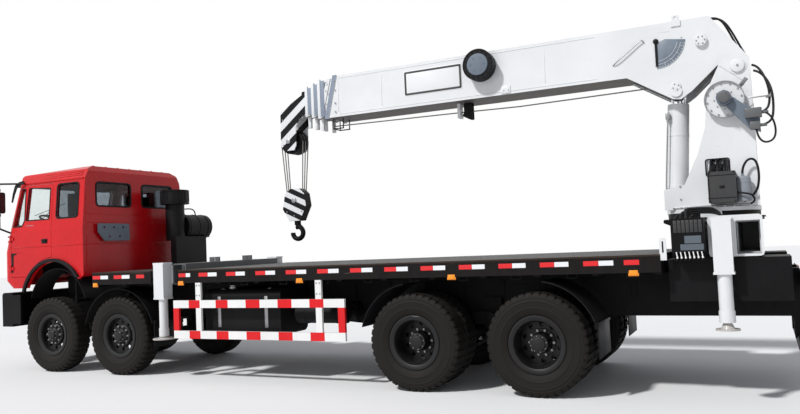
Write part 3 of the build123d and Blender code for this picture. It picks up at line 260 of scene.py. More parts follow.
def painted(name, colour, rough=0.38, dust=0.3, dust_colour=(0.33, 0.30, 0.26), rust=0.1, drift=0.06,
            coat=0.12, bump=0.08, height=1.6, scratch=(0.55, 0.53, 0.5), shine=0.3):
    material, tree, shader, place = new_material(name)
    dust_node = use_group(tree, ROAD_DUST, place, Amount=dust, Height=height)
    skin = use_group(tree, PAINT_SKIN, place)
    spots = use_group(tree, RUST_SPOTS, place, Amount=rust)
    darker = tuple(c * (1.0 - drift * 2.2) for c in colour)
    lighter = tuple(min(1.0, c * (1.0 + drift)) for c in colour)
    cloud = ramp(tree, noise(tree, 1.6, 5.0, 0.6, place), 0.3, 0.7)
    base = mix_colours(tree, cloud, darker, lighter)
    worn = mix_colours(tree, maths(tree, "MULTIPLY", skin.outputs["Scratch"], 0.5), base, scratch)
    rusty = mix_colours(tree, spots.outputs["Mask"], worn, (0.17, 0.07, 0.035))
    dusty = mix_colours(tree, dust_node.outputs["Mask"], rusty, dust_colour)
    tree.links.new(dusty, shader.inputs["Base Color"])
    uneven = maths(tree, "MULTIPLY", noise(tree, 9.0, 4.0, 0.6, place), 0.16)
    rough_out = maths(tree, "ADD", maths(tree, "ADD", uneven, rough - 0.08),
                      maths(tree, "MULTIPLY", dust_node.outputs["Mask"], 0.45))
    rough_out.node.use_clamp = True
    tree.links.new(rough_out, shader.inputs["Roughness"])
    shader.inputs["Specular IOR Level"].default_value = shine
    shader.inputs["Coat Weight"].default_value = coat
    shader.inputs["Coat Roughness"].default_value = 0.18
    add_bump(tree, shader, skin.outputs["Height"], bump, 0.004)
    return material


CRANE_WHITE = painted("crane_white", (0.72, 0.73, 0.74), rough=0.36, dust=0.22, rust=0.16, drift=0.03,
                      dust_colour=(0.42, 0.40, 0.36), scratch=(0.35, 0.34, 0.33), height=2.2)
CAB_RED = painted("cab_red", (0.56, 0.004, 0.008), rough=0.28, dust=0.05, rust=0.0, drift=0.05, coat=0.2, shine=0.2,
                  dust_colour=(0.30, 0.10, 0.08), scratch=(0.6, 0.1, 0.1))
FRAME_BLACK = painted("frame_black", (0.006, 0.006, 0.007), rough=0.5, dust=0.16, shine=0.1, rust=0.12, drift=0.2,
                      dust_colour=(0.05, 0.045, 0.04), scratch=(0.1, 0.095, 0.09), coat=0.0)
DECK_BLACK = painted("deck_black", (0.007, 0.006, 0.006), rough=0.55, dust=0.2, rust=0.3, drift=0.2, shine=0.1,
                     dust_colour=(0.06, 0.05, 0.042), scratch=(0.12, 0.10, 0.09), coat=0.0, height=2.4)
GUARD_WHITE = painted("guard_white", (0.78, 0.78, 0.77), rough=0.4, dust=0.2, rust=0.1, drift=0.03,
                      dust_colour=(0.4, 0.37, 0.33))
SIGNAL_RED = painted("signal_red", (0.66, 0.006, 0.010), rough=0.35, dust=0.05, rust=0.0, drift=0.05, shine=0.2)
STEEL_GREY = painted("steel_grey", (0.24, 0.26, 0.29), rough=0.42, dust=0.25, rust=0.15)


# %% Plastic, rubber and bare metal
def simple(name, colour, rough, metal=0.0, grain=40.0, bump=0.15, drift=0.15, **sockets):
    material, tree, shader, place = new_material(name)
    cloud = ramp(tree, noise(tree, 5.0, 6.0, 0.65, place), 0.3, 0.7)
    low = tuple(c * (1 - drift) for c in colour)
    high = tuple(min(1.0, c * (1 + drift)) for c in colour)
    tree.links.new(mix_colours(tree, cloud, low, high), shader.inputs["Base Color"])
    spread = maths(tree, "ADD", maths(tree, "MULTIPLY", cloud, 0.12), rough - 0.06)
    tree.links.new(spread, shader.inputs["Roughness"])
    add_bump(tree, shader, noise(tree, grain, 3.0, 0.6, place), bump, 0.002)
    shader.inputs["Metallic"].default_value = metal
    for label, value in sockets.items():
        shader.inputs[label.replace("_", " ")].default_value = value
    return material


TYRE_RUBBER = simple("tyre_rubber", (0.011, 0.0095, 0.0085), 0.66, grain=90.0, bump=0.3, Specular_IOR_Level=0.15)
RIM_BLACK = painted("rim_black", (0.006, 0.006, 0.007), rough=0.38, dust=0.2, rust=0.05, drift=0.2,
                    dust_colour=(0.03, 0.028, 0.026), coat=0.1, shine=0.25)
BLACK_PLASTIC = simple("black_plastic", (0.007, 0.007, 0.008), 0.5, grain=220.0, bump=0.2, Specular_IOR_Level=0.15)
CAB_TRIM = simple("cab_trim_grey", (0.030, 0.031, 0.034), 0.7, grain=260.0, bump=0.35)
ROD_CHROME = simple("rod_chrome", (0.72, 0.73, 0.75), 0.16, metal=1.0, grain=300.0, bump=0.02, drift=0.04)
WIRE_STEEL = simple("wire_steel", (0.20, 0.19, 0.18), 0.45, metal=0.8, grain=200.0, bump=0.2)
AMBER_LENS = simple("amber_lens", (0.85, 0.27, 0.01), 0.2, grain=120.0, bump=0.3)
RED_LENS = simple("red_lens", (0.62, 0.02, 0.02), 0.2, grain=120.0, bump=0.3)
CLEAR_LENS = simple("clear_lens", (0.62, 0.64, 0.66), 0.12, grain=80.0, bump=0.4)
HOSE_BLACK = simple("hose_black", (0.007, 0.007, 0.008), 0.42, grain=300.0, bump=0.15, Specular_IOR_Level=0.2)


# %% Window glass
def make_window_glass(name, clean, filmed):
    material, tree, shader, place = new_material(name)
    shader.inputs["Transmission Weight"].default_value = 1.0
    shader.inputs["IOR"].default_value = 1.3
    film = ramp(tree, noise(tree, 3.0, 5.0, 0.6, place), 0.35, 0.8)
    tree.links.new(mix_colours(tree, maths(tree, "MULTIPLY", film, 0.3), clean, filmed),
                   shader.inputs["Base Color"])
    tree.links.new(maths(tree, "ADD", maths(tree, "MULTIPLY", film, 0.05), 0.02), shader.inputs["Roughness"])
    return material


WINDOW_GLASS = make_window_glass("window_glass", (0.88, 0.92, 0.92), (0.7, 0.72, 0.7))
DARK_GLASS = make_window_glass("dark_glass", (0.20, 0.23, 0.26), (0.24, 0.26, 0.28))

# %% [markdown]
# ## Two finishes with a pattern
# The head and the hook block carry slanting black bars on white so that people see them coming. A ramp over the
# sum of two coordinates gives even bars; its hard steps are what a stencil and a spray gun leave.


# %% Warning bars
BAR_BLACK, BAR_WHITE = (0.008, 0.008, 0.009), (0.72, 0.73, 0.74)


def make_bars(name, width, tilt, shift):
    """Slanting bars: how far apart they are, their tilt and where the first one lies."""
    material = painted(name, BAR_WHITE, rough=0.36, dust=0.16, rust=0.1, drift=0.03, dust_colour=(0.42, 0.40, 0.36),
                       coat=0.0, shine=0.12)
    tree, shader, place = parts_of(material)
    under = shader.inputs["Base Color"].links[0].from_socket
    split = tree.nodes.new("ShaderNodeSeparateXYZ")
    tree.links.new(place, split.inputs[0])
    along = maths(tree, "MULTIPLY", split.outputs["X"], math.sin(tilt) / width)
    up = maths(tree, "MULTIPLY", split.outputs["Z"], math.cos(tilt) / width)
    step = maths(tree, "FRACT", maths(tree, "ADD", maths(tree, "ADD", along, up), 40.0 + shift))
    bar = ramp(tree, step, 0.495, 0.505)
    edge = ramp(tree, step, 0.99, 1.0)
    bar = maths(tree, "SUBTRACT", bar, edge)
    tree.links.new(mix_colours(tree, bar, under, BAR_BLACK), shader.inputs["Base Color"])
    return material


HEAD_BARS = make_bars("head_bars", 0.186, math.radians(-38), shift=0.1)
BLOCK_BARS = make_bars("block_bars", 0.145, math.radians(25), shift=0.35)
print("bars on", HEAD_BARS.name, "and", BLOCK_BARS.name)


# %% Chequered deck floor
def make_chequer():
    """Raised tears of a chequer plate, as bump, with dirt lying between them."""
    material = painted("chequer_plate", (0.022, 0.022, 0.024), rough=0.5, dust=0.5, rust=0.4, drift=0.2,
                       dust_colour=(0.13, 0.12, 0.105), coat=0.0, height=3.2, shine=0.35)
    tree, shader, place = parts_of(material)
    height = None
    for turn in (0.785, -0.785):  # an eighth of a turn either way
        mapping = tree.nodes.new("ShaderNodeMapping")
        mapping.inputs["Rotation"].default_value = (0.0, 0.0, turn)
        mapping.inputs["Scale"].default_value = (22.0, 44.0, 1.0)
        tree.links.new(place, mapping.inputs["Vector"])
        cells = tree.nodes.new("ShaderNodeTexVoronoi")
        cells.voronoi_dimensions = "2D"
        cells.inputs["Scale"].default_value = 1.0
        cells.inputs["Randomness"].default_value = 0.0
        tree.links.new(mapping.outputs[0], cells.inputs["Vector"])
        tear = ramp(tree, cells.outputs["Distance"], 0.34, 0.2)
        height = tear if height is None else maths(tree, "MAXIMUM", height, tear)
    add_bump(tree, shader, height, 0.6, 0.003)
    return material


CHEQUER = make_chequer()


# %% Reflective tape
def make_tape(name, colour):
    """Prism sheeting: a fine honeycomb under a clear, glossy skin."""
    material = simple(name, colour, 0.3, grain=60.0, bump=0.05, drift=0.08)
    tree, shader, place = parts_of(material)
    cells = tree.nodes.new("ShaderNodeTexVoronoi")
    cells.feature = "DISTANCE_TO_EDGE"
    cells.inputs["Scale"].default_value = 110.0
    cells.inputs["Randomness"].default_value = 0.15
    tree.links.new(place, cells.inputs["Vector"])
    rim = ramp(tree, cells.outputs["Distance"], 0.0, 0.12)
    low = tuple(c * 0.72 for c in colour)
    tree.links.new(mix_colours(tree, rim, low, colour), shader.inputs["Base Color"])
    shader.inputs["Coat Weight"].default_value = 0.15
    shader.inputs["Coat Roughness"].default_value = 0.12
    return material


TAPE_RED = make_tape("tape_red", (0.72, 0.006, 0.010))
TAPE_WHITE = make_tape("tape_white", (0.80, 0.81, 0.83))
SCALE_GREY = simple("scale_grey", (0.14, 0.17, 0.21), 0.4, grain=150.0, bump=0.1)
BLANK_PLATE = simple("blank_plate", (0.085, 0.105, 0.125), 0.4, grain=100.0, bump=0.1, drift=0.06)
MIRROR_DARK = simple("mirror_silver", (0.035, 0.037, 0.040), 0.12, metal=0.3, grain=4.0, bump=0.02, drift=0.02)
BOLT_STEEL = simple("bolt_steel", (0.30, 0.30, 0.31), 0.35, metal=0.85, grain=160.0, bump=0.15)
SEAT_CLOTH = simple("seat_cloth", (0.045, 0.048, 0.055), 0.85, grain=420.0, bump=0.5)
RUBBER_SEAL = simple("rubber_seal", (0.006, 0.006, 0.007), 0.5, grain=180.0, bump=0.2, Specular_IOR_Level=0.15)
GUARD_RUBBER = simple("guard_rubber", (0.008, 0.008, 0.009), 0.55, grain=140.0, bump=0.3, Specular_IOR_Level=0.15)
BOX_GREY = painted("box_grey", (0.10, 0.105, 0.11), rough=0.45, dust=0.3, rust=0.15)
BOX_DARK = painted("box_dark", (0.030, 0.031, 0.033), rough=0.45, dust=0.25, rust=0.1)
PLATE_GREY = painted("plate_grey", (0.13, 0.16, 0.20), rough=0.45, dust=0.2, rust=0.05)
JACK_DUSTY = painted("jack_dusty", (0.52, 0.50, 0.48), rough=0.45, dust=0.5, rust=0.2,
                     dust_colour=(0.30, 0.27, 0.23))
SIGN_WHITE = painted("sign_white", (0.78, 0.79, 0.80), rough=0.3, dust=0.05, rust=0.0, drift=0.02)
SIGN_INK = simple("sign_ink", (0.020, 0.018, 0.018), 0.4, grain=90.0, bump=0.1)
# Undersides of the boom: the dark grey-brown base colour is painted shade on faces that look down, with dust and
# rust spots over it.
BOOM_UNDER_DUST_AND_SHADE = painted("boom_under_dust_and_shade", (0.15, 0.13, 0.125), rough=0.55, dust=0.5, rust=0.3, coat=0.0, shine=0.15)
# A blue-grey painted shade, for the collar's sides and the bands behind the sections' fronts, where the white lies
# in recessed shade.
COLLAR_SHADE = painted("collar_shade", (0.22, 0.26, 0.33), rough=0.45, dust=0.2, rust=0.1)
EDGE_WEAR = painted("edge_wear", (0.040, 0.026, 0.020), rough=0.7, dust=0.5, rust=0.5, coat=0.0, shine=0.1,
                    dust_colour=(0.09, 0.07, 0.055))

# %% [markdown]
# ## Tools for making pieces
# Every new piece starts from a bmesh shape: a cube, a cone, a flat outline or a line that is spun. The helpers
# below place such a shape where the truck needs it, round its edges and hand it to the body that it rides on.


# %% Boxes, bars and turned shapes
def bevelled(shape, parts, amount, steps=2, what="EDGES"):
    return bmesh.ops.bevel(shape, geom=parts, offset=amount, offset_type="OFFSET", segments=steps, profile=0.5,
                           affect=what, material=-1, clamp_overlap=True)


def edges_at(verts):
    """The edges at some corners, each once."""
    return list(dict.fromkeys(e for v in verts for e in v.link_edges))


def sharp_only(edges):
    """Those edges where two faces meet at more than one radian."""
    return [e for e in edges if e.calc_face_angle(0.0) > 1.0]


def block(shape, x, y, z, rounding=0.0, steps=2):
    """A box between pairs of limits, with its edges rounded."""
    made = bmesh.ops.create_cube(shape, size=1.0)["verts"]
    low, high = at(x[0], y[0], z[0]), at(x[1], y[1], z[1])
    bmesh.ops.scale(shape, vec=high - low, verts=made)
    bmesh.ops.translate(shape, vec=(high + low) / 2, verts=made)
    if rounding:
        bevelled(shape, edges_at(made), rounding, steps)


def rod(shape, start, end, radius, end_radius=None, sides=16, rounding=0.0):
    """A round bar, or a cone, between two places on the truck."""
    a, b = at(*start), at(*end)
    turn = (b - a).to_track_quat("Z", "Y").to_matrix().to_4x4()
    last = radius if end_radius is None else end_radius
    made = bmesh.ops.create_cone(shape, cap_ends=True, segments=sides, radius1=radius, radius2=last,
                                 depth=(b - a).length, matrix=Matrix.Translation((a + b) / 2) @ turn)["verts"]
    if rounding:
        bevelled(shape, sharp_only(edges_at(made)), rounding, 2)


def turned(shape, outline, centre, axis, sides=48):
    """Spin an outline of (along, radius) points round an axis through a place."""
    middle, way = at(*centre), Vector(axis).normalized()
    out = way.orthogonal().normalized()
    verts = [shape.verts.new(middle + way * a + out * r) for a, r in outline]
    edges = [shape.edges.new(pair) for pair in zip(verts, verts[1:])]
    bmesh.ops.spin(shape, geom=verts + edges, cent=middle, axis=way, angle=math.tau, steps=sides, use_merge=True)


def outline_face(shape, corners, rounding, steps):
    """One flat face from its corners, with those rounded."""
    before = set(shape.faces)
    verts = [shape.verts.new(at(*c)) for c in corners]
    shape.faces.new(verts)
    if rounding:
        bevelled(shape, verts, rounding, steps, "VERTICES")
    return next(f for f in shape.faces if f not in before)


def grow(shape, faces, way):
    """Thicken faces along a vector. Gives back the faces at its far end."""
    grown = bmesh.ops.extrude_face_region(shape, geom=faces)["geom"]
    bmesh.ops.translate(shape, vec=Vector(way), verts=[v for v in grown if isinstance(v, bmesh.types.BMVert)])
    return [f for f in grown if isinstance(f, bmesh.types.BMFace)]


def plate(shape, corners, thick, rounding=0.0, steps=4, edge=0.0):
    """A flat plate from its corners, its corners rounded, grown by a vector."""
    top = grow(shape, [outline_face(shape, corners, rounding, steps)], thick)
    if edge:
        bevelled(shape, list(top[0].edges), edge, 2)


def rim_frame(shape, corners, rounding, width, thick, steps=5):
    """A flat ring that follows an opening's rounded outline, as a rubber frame does."""
    face = outline_face(shape, corners, rounding, steps)
    ring = bmesh.ops.inset_region(shape, faces=[face], thickness=width, use_even_offset=True,
                                  use_boundary=True)["faces"]
    bmesh.ops.delete(shape, geom=[face], context="FACES_ONLY")
    top = grow(shape, ring, thick)
    rims = sharp_only(dict.fromkeys(e for f in top for e in f.edges))
    bevelled(shape, rims, min(width, Vector(thick).length) * 0.3, 2)


def studs(shape, places, way, radius, height, sides=6):
    """Bolt heads or pins that stand on a surface."""
    for place in places:
        end = tuple(p + w * height for p, w in zip(place, way))
        rod(shape, place, end, radius, radius * 0.94, sides)


def ring_places(centre, radius, count, axis="Y", start=0.0):
    """Places evenly round a circle."""
    found = []
    for i in range(count):
        angle = start + math.tau * i / count
        a, b = radius * math.cos(angle), radius * math.sin(angle)
        x, y, z = centre
        found.append({"Y": (x + a, y, z + b), "Z": (x + a, y + b, z), "X": (x, y + a, z + b)}[axis])
    return found


# %% Handing a shape over
made_pieces = []


def hand_over(name, data, body):
    made = bpy.data.objects.new(name, data)
    bpy.context.scene.collection.objects.link(made)
    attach(made, body)
    made_pieces.append(made)
    return made


def piece(name, shape, material, body, sharp=34.0):
    """Turn a shape into a finished object that rides on a body."""
    bmesh.ops.remove_doubles(shape, verts=shape.verts[:], dist=0.00004)
    bmesh.ops.recalc_face_normals(shape, faces=shape.faces[:])
    for face in shape.faces:
        face.smooth = True
    for edge in shape.edges:
        edge.smooth = edge.calc_face_angle(3.0) < math.radians(sharp)
    mesh = bpy.data.meshes.new(name)
    shape.to_mesh(mesh)
    shape.free()
    mesh.materials.append(material)
    return hand_over(name, mesh, body)


def pipe(name, route, radius, material, body):
    """A pipe or a hose along a smooth line."""
    data = bpy.data.curves.new(name, "CURVE")
    data.dimensions = "3D"
    data.bevel_depth = radius
    data.bevel_resolution = 3
    data.use_fill_caps = True
    line = data.splines.new("NURBS")
    line.points.add(len(route) - 1)
    for point, place in zip(line.points, route):
        point.co = (*at(*place), 1.0)
    line.order_u = 3
    line.use_endpoint_u = True
    line.resolution_u = 6
    data.materials.append(material)
    return hand_over(name, data, body)


def hoop(shape, centre, axis, half, foot, edge, top, sides):
    """A band round a tube: half its width and its radius at the foot, then at the outer edge."""
    turned(shape, [(-half, foot), (-edge, top), (edge, top), (half, foot)], centre, axis, sides)


# %% [markdown]
# ## Tyres
# A truck tyre is a turned shape: bulging walls with raised rings, a rounded shoulder and a tread with grooves
# round it. Half of its outline is written down, mirrored and spun in 120 steps. Every third step is then pressed
# in across the tread and the shoulder, which leaves the blocks that grip the road.

# %% Outline of a tyre
WHEEL_R = 0.552
TYRE_SIDE = [
    # distance from the tyre's middle, radius
    (0.104, 0.2603), (0.104, 0.3135), (0.112, 0.318), (0.1185, 0.326), (0.1205, 0.331), (0.124, 0.339),
    (0.1305, 0.353), (0.1365, 0.372), (0.1385, 0.383), (0.1412, 0.3855), (0.1416, 0.391), (0.1405, 0.3935),
    (0.1434, 0.414), (0.1448, 0.440), (0.1444, 0.457), (0.1455, 0.459), (0.1452, 0.463), (0.1432, 0.465),
    (0.1410, 0.480), (0.1396, 0.490), (0.1404, 0.492), (0.1398, 0.4965), (0.1372, 0.498), (0.1335, 0.510),
    (0.1300, 0.524), (0.1215, 0.5395), (0.1120, 0.5475), (0.1000, 0.5515), (0.0640, 0.552), (0.0625, 0.541),
    (0.0545, 0.541), (0.0530, 0.552), (0.0200, 0.552), (0.0185, 0.541), (0.0105, 0.541), (0.0090, 0.552),
]
TYRE_OUTLINE = TYRE_SIDE + [(-a, r) for a, r in reversed(TYRE_SIDE)] + TYRE_SIDE[:1]
TYRE_STEPS = 120


def tyre_shape(centre_y=0.0):
    shape = bmesh.new()
    turned(shape, TYRE_OUTLINE, (-SHIFT, centre_y, 0.0), (0, 1, 0), TYRE_STEPS)
    bmesh.ops.remove_doubles(shape, verts=shape.verts[:], dist=0.00002)
    pressed = []
    for face in shape.faces:
        spot = face.calc_center_median()
        radius = math.hypot(spot.x, spot.z)
        across = abs(spot.y - centre_y)
        sector = int(math.degrees(math.atan2(spot.z, spot.x)) % 360 / (360 / TYRE_STEPS))
        on_rib = across < 0.009 or 0.021 < across < 0.052 or across > 0.066
        if sector % 3 == 0 and radius > 0.504 and on_rib:
            pressed.append(face)
    grown = bmesh.ops.extrude_face_region(shape, geom=pressed)["geom"]
    for vert in grown:
        if isinstance(vert, bmesh.types.BMVert):
            depth = 0.012 if abs(vert.co.y - centre_y) > 0.06 else 0.006
            away = Vector((vert.co.x, (vert.co.y - centre_y) * 0.9, vert.co.z)).normalized()
            vert.co -= away * depth
    bmesh.ops.delete(shape, geom=pressed, context="FACES_ONLY")
    return shape


tyre = tyre_shape()
print("one tyre:", len(tyre.faces), "faces")
tyre_mesh = bpy.data.meshes.new("tyre_pattern")
tyre.to_mesh(tyre_mesh)
tyre.free()

# %% [markdown]
# ## Wheels
# The steel wheel is turned as well: a barrel with a lip that holds the tyre, and a disc with hand holes. The
# disc is drawn as circles inside a circle and filled, which cuts the holes, and then given its thickness.


# %% The disc with its hand holes
def holed_disc(shape, centre, inner, outer, thick):
    """A flat ring with ten round hand holes."""
    edges = []
    circles = [(centre, inner, 48), (centre, outer, 64)]
    circles += [(place, 0.027, 20) for place in ring_places(centre, 0.196, 10, "Y", math.tau / 20)]
    for place, radius, sides in circles:
        turn = Matrix.Translation(at(*place)) @ Matrix.Rotation(math.pi / 2, 4, "X")
        made = bmesh.ops.create_circle(shape, segments=sides, radius=radius, matrix=turn)["verts"]
        edges += edges_at(made)
    filled = bmesh.ops.triangle_fill(shape, use_beauty=True, use_dissolve=False, edges=edges)["geom"]
    grow(shape, [f for f in filled if isinstance(f, bmesh.types.BMFace)], (0, thick, 0))


FRONT_BARREL = [
    (-0.1044, 0.2598), (0.1044, 0.2598), (0.1044, 0.306), (0.109, 0.3095), (0.1155, 0.3085), (0.1175, 0.303),
    (0.113, 0.270), (0.106, 0.255), (0.086, 0.244), (0.040, 0.2375), (-0.1044, 0.236), (-0.1044, 0.2598),
]
FRONT_HUB = [
    (0.026, 0.168), (0.042, 0.167), (0.060, 0.158), (0.066, 0.150), (0.066, 0.118), (0.085, 0.112),
    (0.104, 0.094), (0.110, 0.088), (0.110, 0.070), (0.126, 0.064), (0.131, 0.056), (0.133, 0.0),
]
REAR_BARREL = [
    (-0.150, 0.232), (0.060, 0.2375), (0.086, 0.244), (0.106, 0.255), (0.113, 0.270), (0.1175, 0.303),
    (0.1155, 0.3085), (0.109, 0.3095), (0.1044, 0.306), (0.1044, 0.2598), (-0.1044, 0.2598), (-0.2256, 0.2598),
    (-0.4344, 0.2598), (-0.4344, 0.306), (-0.439, 0.3095), (-0.4455, 0.3085), (-0.4475, 0.303), (-0.443, 0.270),
    (-0.432, 0.252), (-0.400, 0.240), (-0.150, 0.232),
]
REAR_HUB = [
    (-0.150, 0.200), (-0.150, 0.150), (-0.108, 0.150), (-0.106, 0.147), (-0.106, 0.114), (-0.060, 0.110),
    (0.018, 0.104), (0.030, 0.098), (0.034, 0.074), (0.046, 0.070), (0.050, 0.060), (0.052, 0.0),
]
DRUM = [(-0.20, 0.12), (-0.205, 0.205), (-0.42, 0.205), (-0.425, 0.195), (-0.425, 0.08), (-0.20, 0.08),
        (-0.20, 0.12)]


# %% Putting the wheels together
TYRE_MIDDLES = {True: [0.990], False: [1.092, 0.762]}  # by whether it is a front wheel, from the truck's middle
# how far out of the outer tyre's middle the disc, the nuts and the hub's cap stand, and the radii of their rings
FRONT_STEEL = {"barrel": FRONT_BARREL, "hub": FRONT_HUB, "disc": 0.026, "inner": 0.112, "outer": 0.2385,
               "nuts": 0.066, "cap": 0.110, "cap_ring": 0.079}
REAR_STEEL = {"barrel": REAR_BARREL, "hub": REAR_HUB, "disc": -0.132, "inner": 0.114, "outer": 0.2345,
              "nuts": -0.106, "cap": 0.034, "cap_ring": 0.085}
NUT_RING = 0.133


def dress_wheel(node, body, x, side, front):
    """A wheel's tyres, its steel and its nuts."""
    form = FRONT_STEEL if front else REAR_STEEL
    tyre_middles = TYRE_MIDDLES[front]
    rubber = bmesh.new()
    for middle in tyre_middles:
        copy = bmesh.new()
        copy.from_mesh(tyre_mesh)
        bmesh.ops.translate(copy, vec=at(x, side * middle, WHEEL_R), verts=copy.verts[:])
        moved = bpy.data.meshes.new("moved")
        copy.to_mesh(moved)
        copy.free()
        rubber.from_mesh(moved)
        bpy.data.meshes.remove(moved)
    tread = piece("tyre_of_" + node, rubber, TYRE_RUBBER, body, sharp=40)
    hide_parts(node)
    steel = bmesh.new()
    centre = (x, side * tyre_middles[0], WHEEL_R)
    way = (0, side, 0)
    turned(steel, form["barrel"], centre, way, 72)
    turned(steel, form["hub"], centre, way, 48)
    if not front:
        turned(steel, DRUM, centre, way, 48)
    flat = (x, side * (tyre_middles[0] + form["disc"]), WHEEL_R)
    holed_disc(steel, flat, form["inner"], form["outer"], side * 0.012)
    piece("rim_of_" + node, steel, RIM_BLACK, body, sharp=30)
    nuts = bmesh.new()
    foot = tyre_middles[0] + form["nuts"]
    studs(nuts, ring_places((x, side * foot, WHEEL_R), NUT_RING, 10, "Y"), way, 0.0155, 0.020)
    studs(nuts, ring_places((x, side * (foot + 0.02), WHEEL_R), NUT_RING, 10, "Y"), way, 0.008, 0.012, 8)
    cap = (x, side * (tyre_middles[0] + form["cap"]), WHEEL_R)
    studs(nuts, ring_places(cap, form["cap_ring"], 8, "Y", 0.2), way, 0.006, 0.007)
    piece("nuts_of_" + node, nuts, BOLT_STEEL, body)


AXLES = [("1", 0.0, True), ("2", 1.37, True), ("3", 6.03, False), ("4", 7.45, False)]
for axle, x, front in AXLES:
    for word, side in (("left", -1), ("right", 1)):
        node, body = ("wheel", "wheel_body") if front else ("wheels", "twin")
        dress_wheel(f"{node}_{axle}_{word}", f"{body}_{axle}_{word}", x, side, front)
bpy.data.meshes.remove(tyre_mesh)
print("wheels dressed:", sum(len(o.data.polygons) for o in made_pieces), "faces")

# %% [markdown]
# ## Finishes for the solids
# Most nodes already have the right form, so they only take a finish. Where one node holds two materials, its
# triangles are sorted by place: the rope falls from the hook block, the lenses front and rear, the deck's floor.


# %% Sorting a node's faces between finishes
def finish_by_place(name, materials, choose):
    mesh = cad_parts[name].data
    mesh.materials.clear()
    for material in materials:
        mesh.materials.append(material)
    for face in mesh.polygons:
        spot = face.center
        face.material_index = choose(spot.x - SHIFT, spot.y, spot.z, face.normal)


# %% One finish for each node
FINISHES = [
    # the first row with a word that starts the node's name gives its finish
    (WINDOW_GLASS, ("cab_glass", "door_glass_")),
    (CAB_RED, ("cab_shell", "door_")),
    (CAB_TRIM, ("cab_interior",)),
    (BLACK_PLASTIC, ("intake", "cab_trim", "mirrors", "cable_reel")),
    (GUARD_WHITE, ("guards", "hook_block")),
    (GUARD_RUBBER, ("mudguards",)),
    (DECK_BLACK, ("deck",)),
    (AMBER_LENS, ("lamps",)),
    (BOX_GREY, ("front_outrigger_box",)),
    (BOX_DARK, ("column_box",)),
    (ROD_CHROME, ("lift_rod",)),
    (JACK_DUSTY, ("jack_",)),
    (CRANE_WHITE, ("column", "winch", "boom_", "lift_barrel", "beam_")),
    (TYRE_RUBBER, ("wheel",)),
]
for name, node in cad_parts.items():
    finish = next((row[0] for row in FINISHES if name.startswith(row[1])), FRAME_BLACK)
    node.data.materials.clear()
    node.data.materials.append(finish)
print("finished", len(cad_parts), "nodes")

# %% Nodes with more than one finish
SORTED_NODES = {
    # node: its finishes, and which of them a face at x, y, z with the normal n takes
    "deck": ([DECK_BLACK, CHEQUER], lambda x, y, z, n: 1 if n.z > 0.9 and z > 1.45 else 0),
    "lamps": ([AMBER_LENS, CLEAR_LENS, RED_LENS], lambda x, y, z, n: 1 if x < -1 else 2 if x > 9.9 else 0),
    "guards": ([GUARD_WHITE, FRAME_BLACK], lambda x, y, z, n: 1 if x > 9 else 0),
    "cab_trim": ([BLACK_PLASTIC, PLATE_GREY], lambda x, y, z, n: 1 if x > 0.64 and z > 1.9 else 0),
    "cab_interior": ([CAB_TRIM, SEAT_CLOTH], lambda x, y, z, n: 1 if -0.49 < x and z > 1.80 else 0),
    "winch": ([CRANE_WHITE, PLATE_GREY, FRAME_BLACK],
              lambda x, y, z, n: 2 if y > -0.3 else 1 if y < -0.385 else 0),
    "slew_base": ([FRAME_BLACK, CRANE_WHITE],
                  lambda x, y, z, n: 1 if abs(y) > 0.46 and x > 9.0 and z > 1.4 else 0),
    "boom_head": ([CRANE_WHITE, HEAD_BARS, FRAME_BLACK],
                  lambda x, y, z, n: (1 if abs(y) > 0.1405 and x < 4.06
                                      else 2 if x < 4.0 and abs(y) < 0.13 and z < 3.4 else 0)),
    "hook_block": ([WIRE_STEEL, BLOCK_BARS, FRAME_BLACK],
                   lambda x, y, z, n: 0 if z > 2.53 or abs(y) > 0.0751 else 1 if abs(n.y) > 0.9 else 2),
    "cab_glass": ([WINDOW_GLASS, DARK_GLASS], lambda x, y, z, n: 1 if x > 0.0 else 0),
    # Boom base: faces that look down take painted shade, and the collar's sides take a blue-grey painted shade.
    "boom_base": ([CRANE_WHITE, BOOM_UNDER_DUST_AND_SHADE, COLLAR_SHADE],
                  lambda x, y, z, n: (1 if n.z < -0.35 and z < 3.62
                                      else 2 if x < 4.60 and abs(y) > 0.2405 and abs(n.y) > 0.9 else 0)),
    "column_box": ([BOX_DARK, STEEL_GREY], lambda x, y, z, n: 1 if x > 9.441 else 0),
}
# The sections' faces that look down take the same painted shade.
for number in (2, 3, 4):
    SORTED_NODES[f"boom_section_{number}"] = ([CRANE_WHITE, BOOM_UNDER_DUST_AND_SHADE], lambda x, y, z, n: 1 if n.z < -0.9 else 0)
for name, (finishes, choose) in SORTED_NODES.items():
    finish_by_place(name, finishes, choose)
print("nodes with more than one finish:", len(SORTED_NODES))

# %% [markdown]
# ## Cab trim
# The red cab gets what a coach-builder adds after painting: rubber frames round the glass, a pressed crease along
# the waist, ribs along the roof's side, handles, wipers, a sun visor, mirror glasses and a grille. Each follows
# the cab's leaning walls, so two small helpers say where the side and the front lie at a given height.


# %% Where the cab's walls lie
def side_wall(z):
    """Half of the cab's width at a height, above the waist it leans in."""
    return 1.06 if z < 2.13 else 1.06 - (z - 2.13) * 0.065 / 0.75


def front_wall(z):
    """Where the front wall or the screen lies at a height."""
    return -1.04 + (z - 2.13) * 0.25 if z > 2.13 else -1.135 + max(0.0, z - 1.82) * 0.3065


def side_corners(pairs, side, lift=0.0):
    return [(x, side * (side_wall(z) + lift), z) for x, z in pairs]


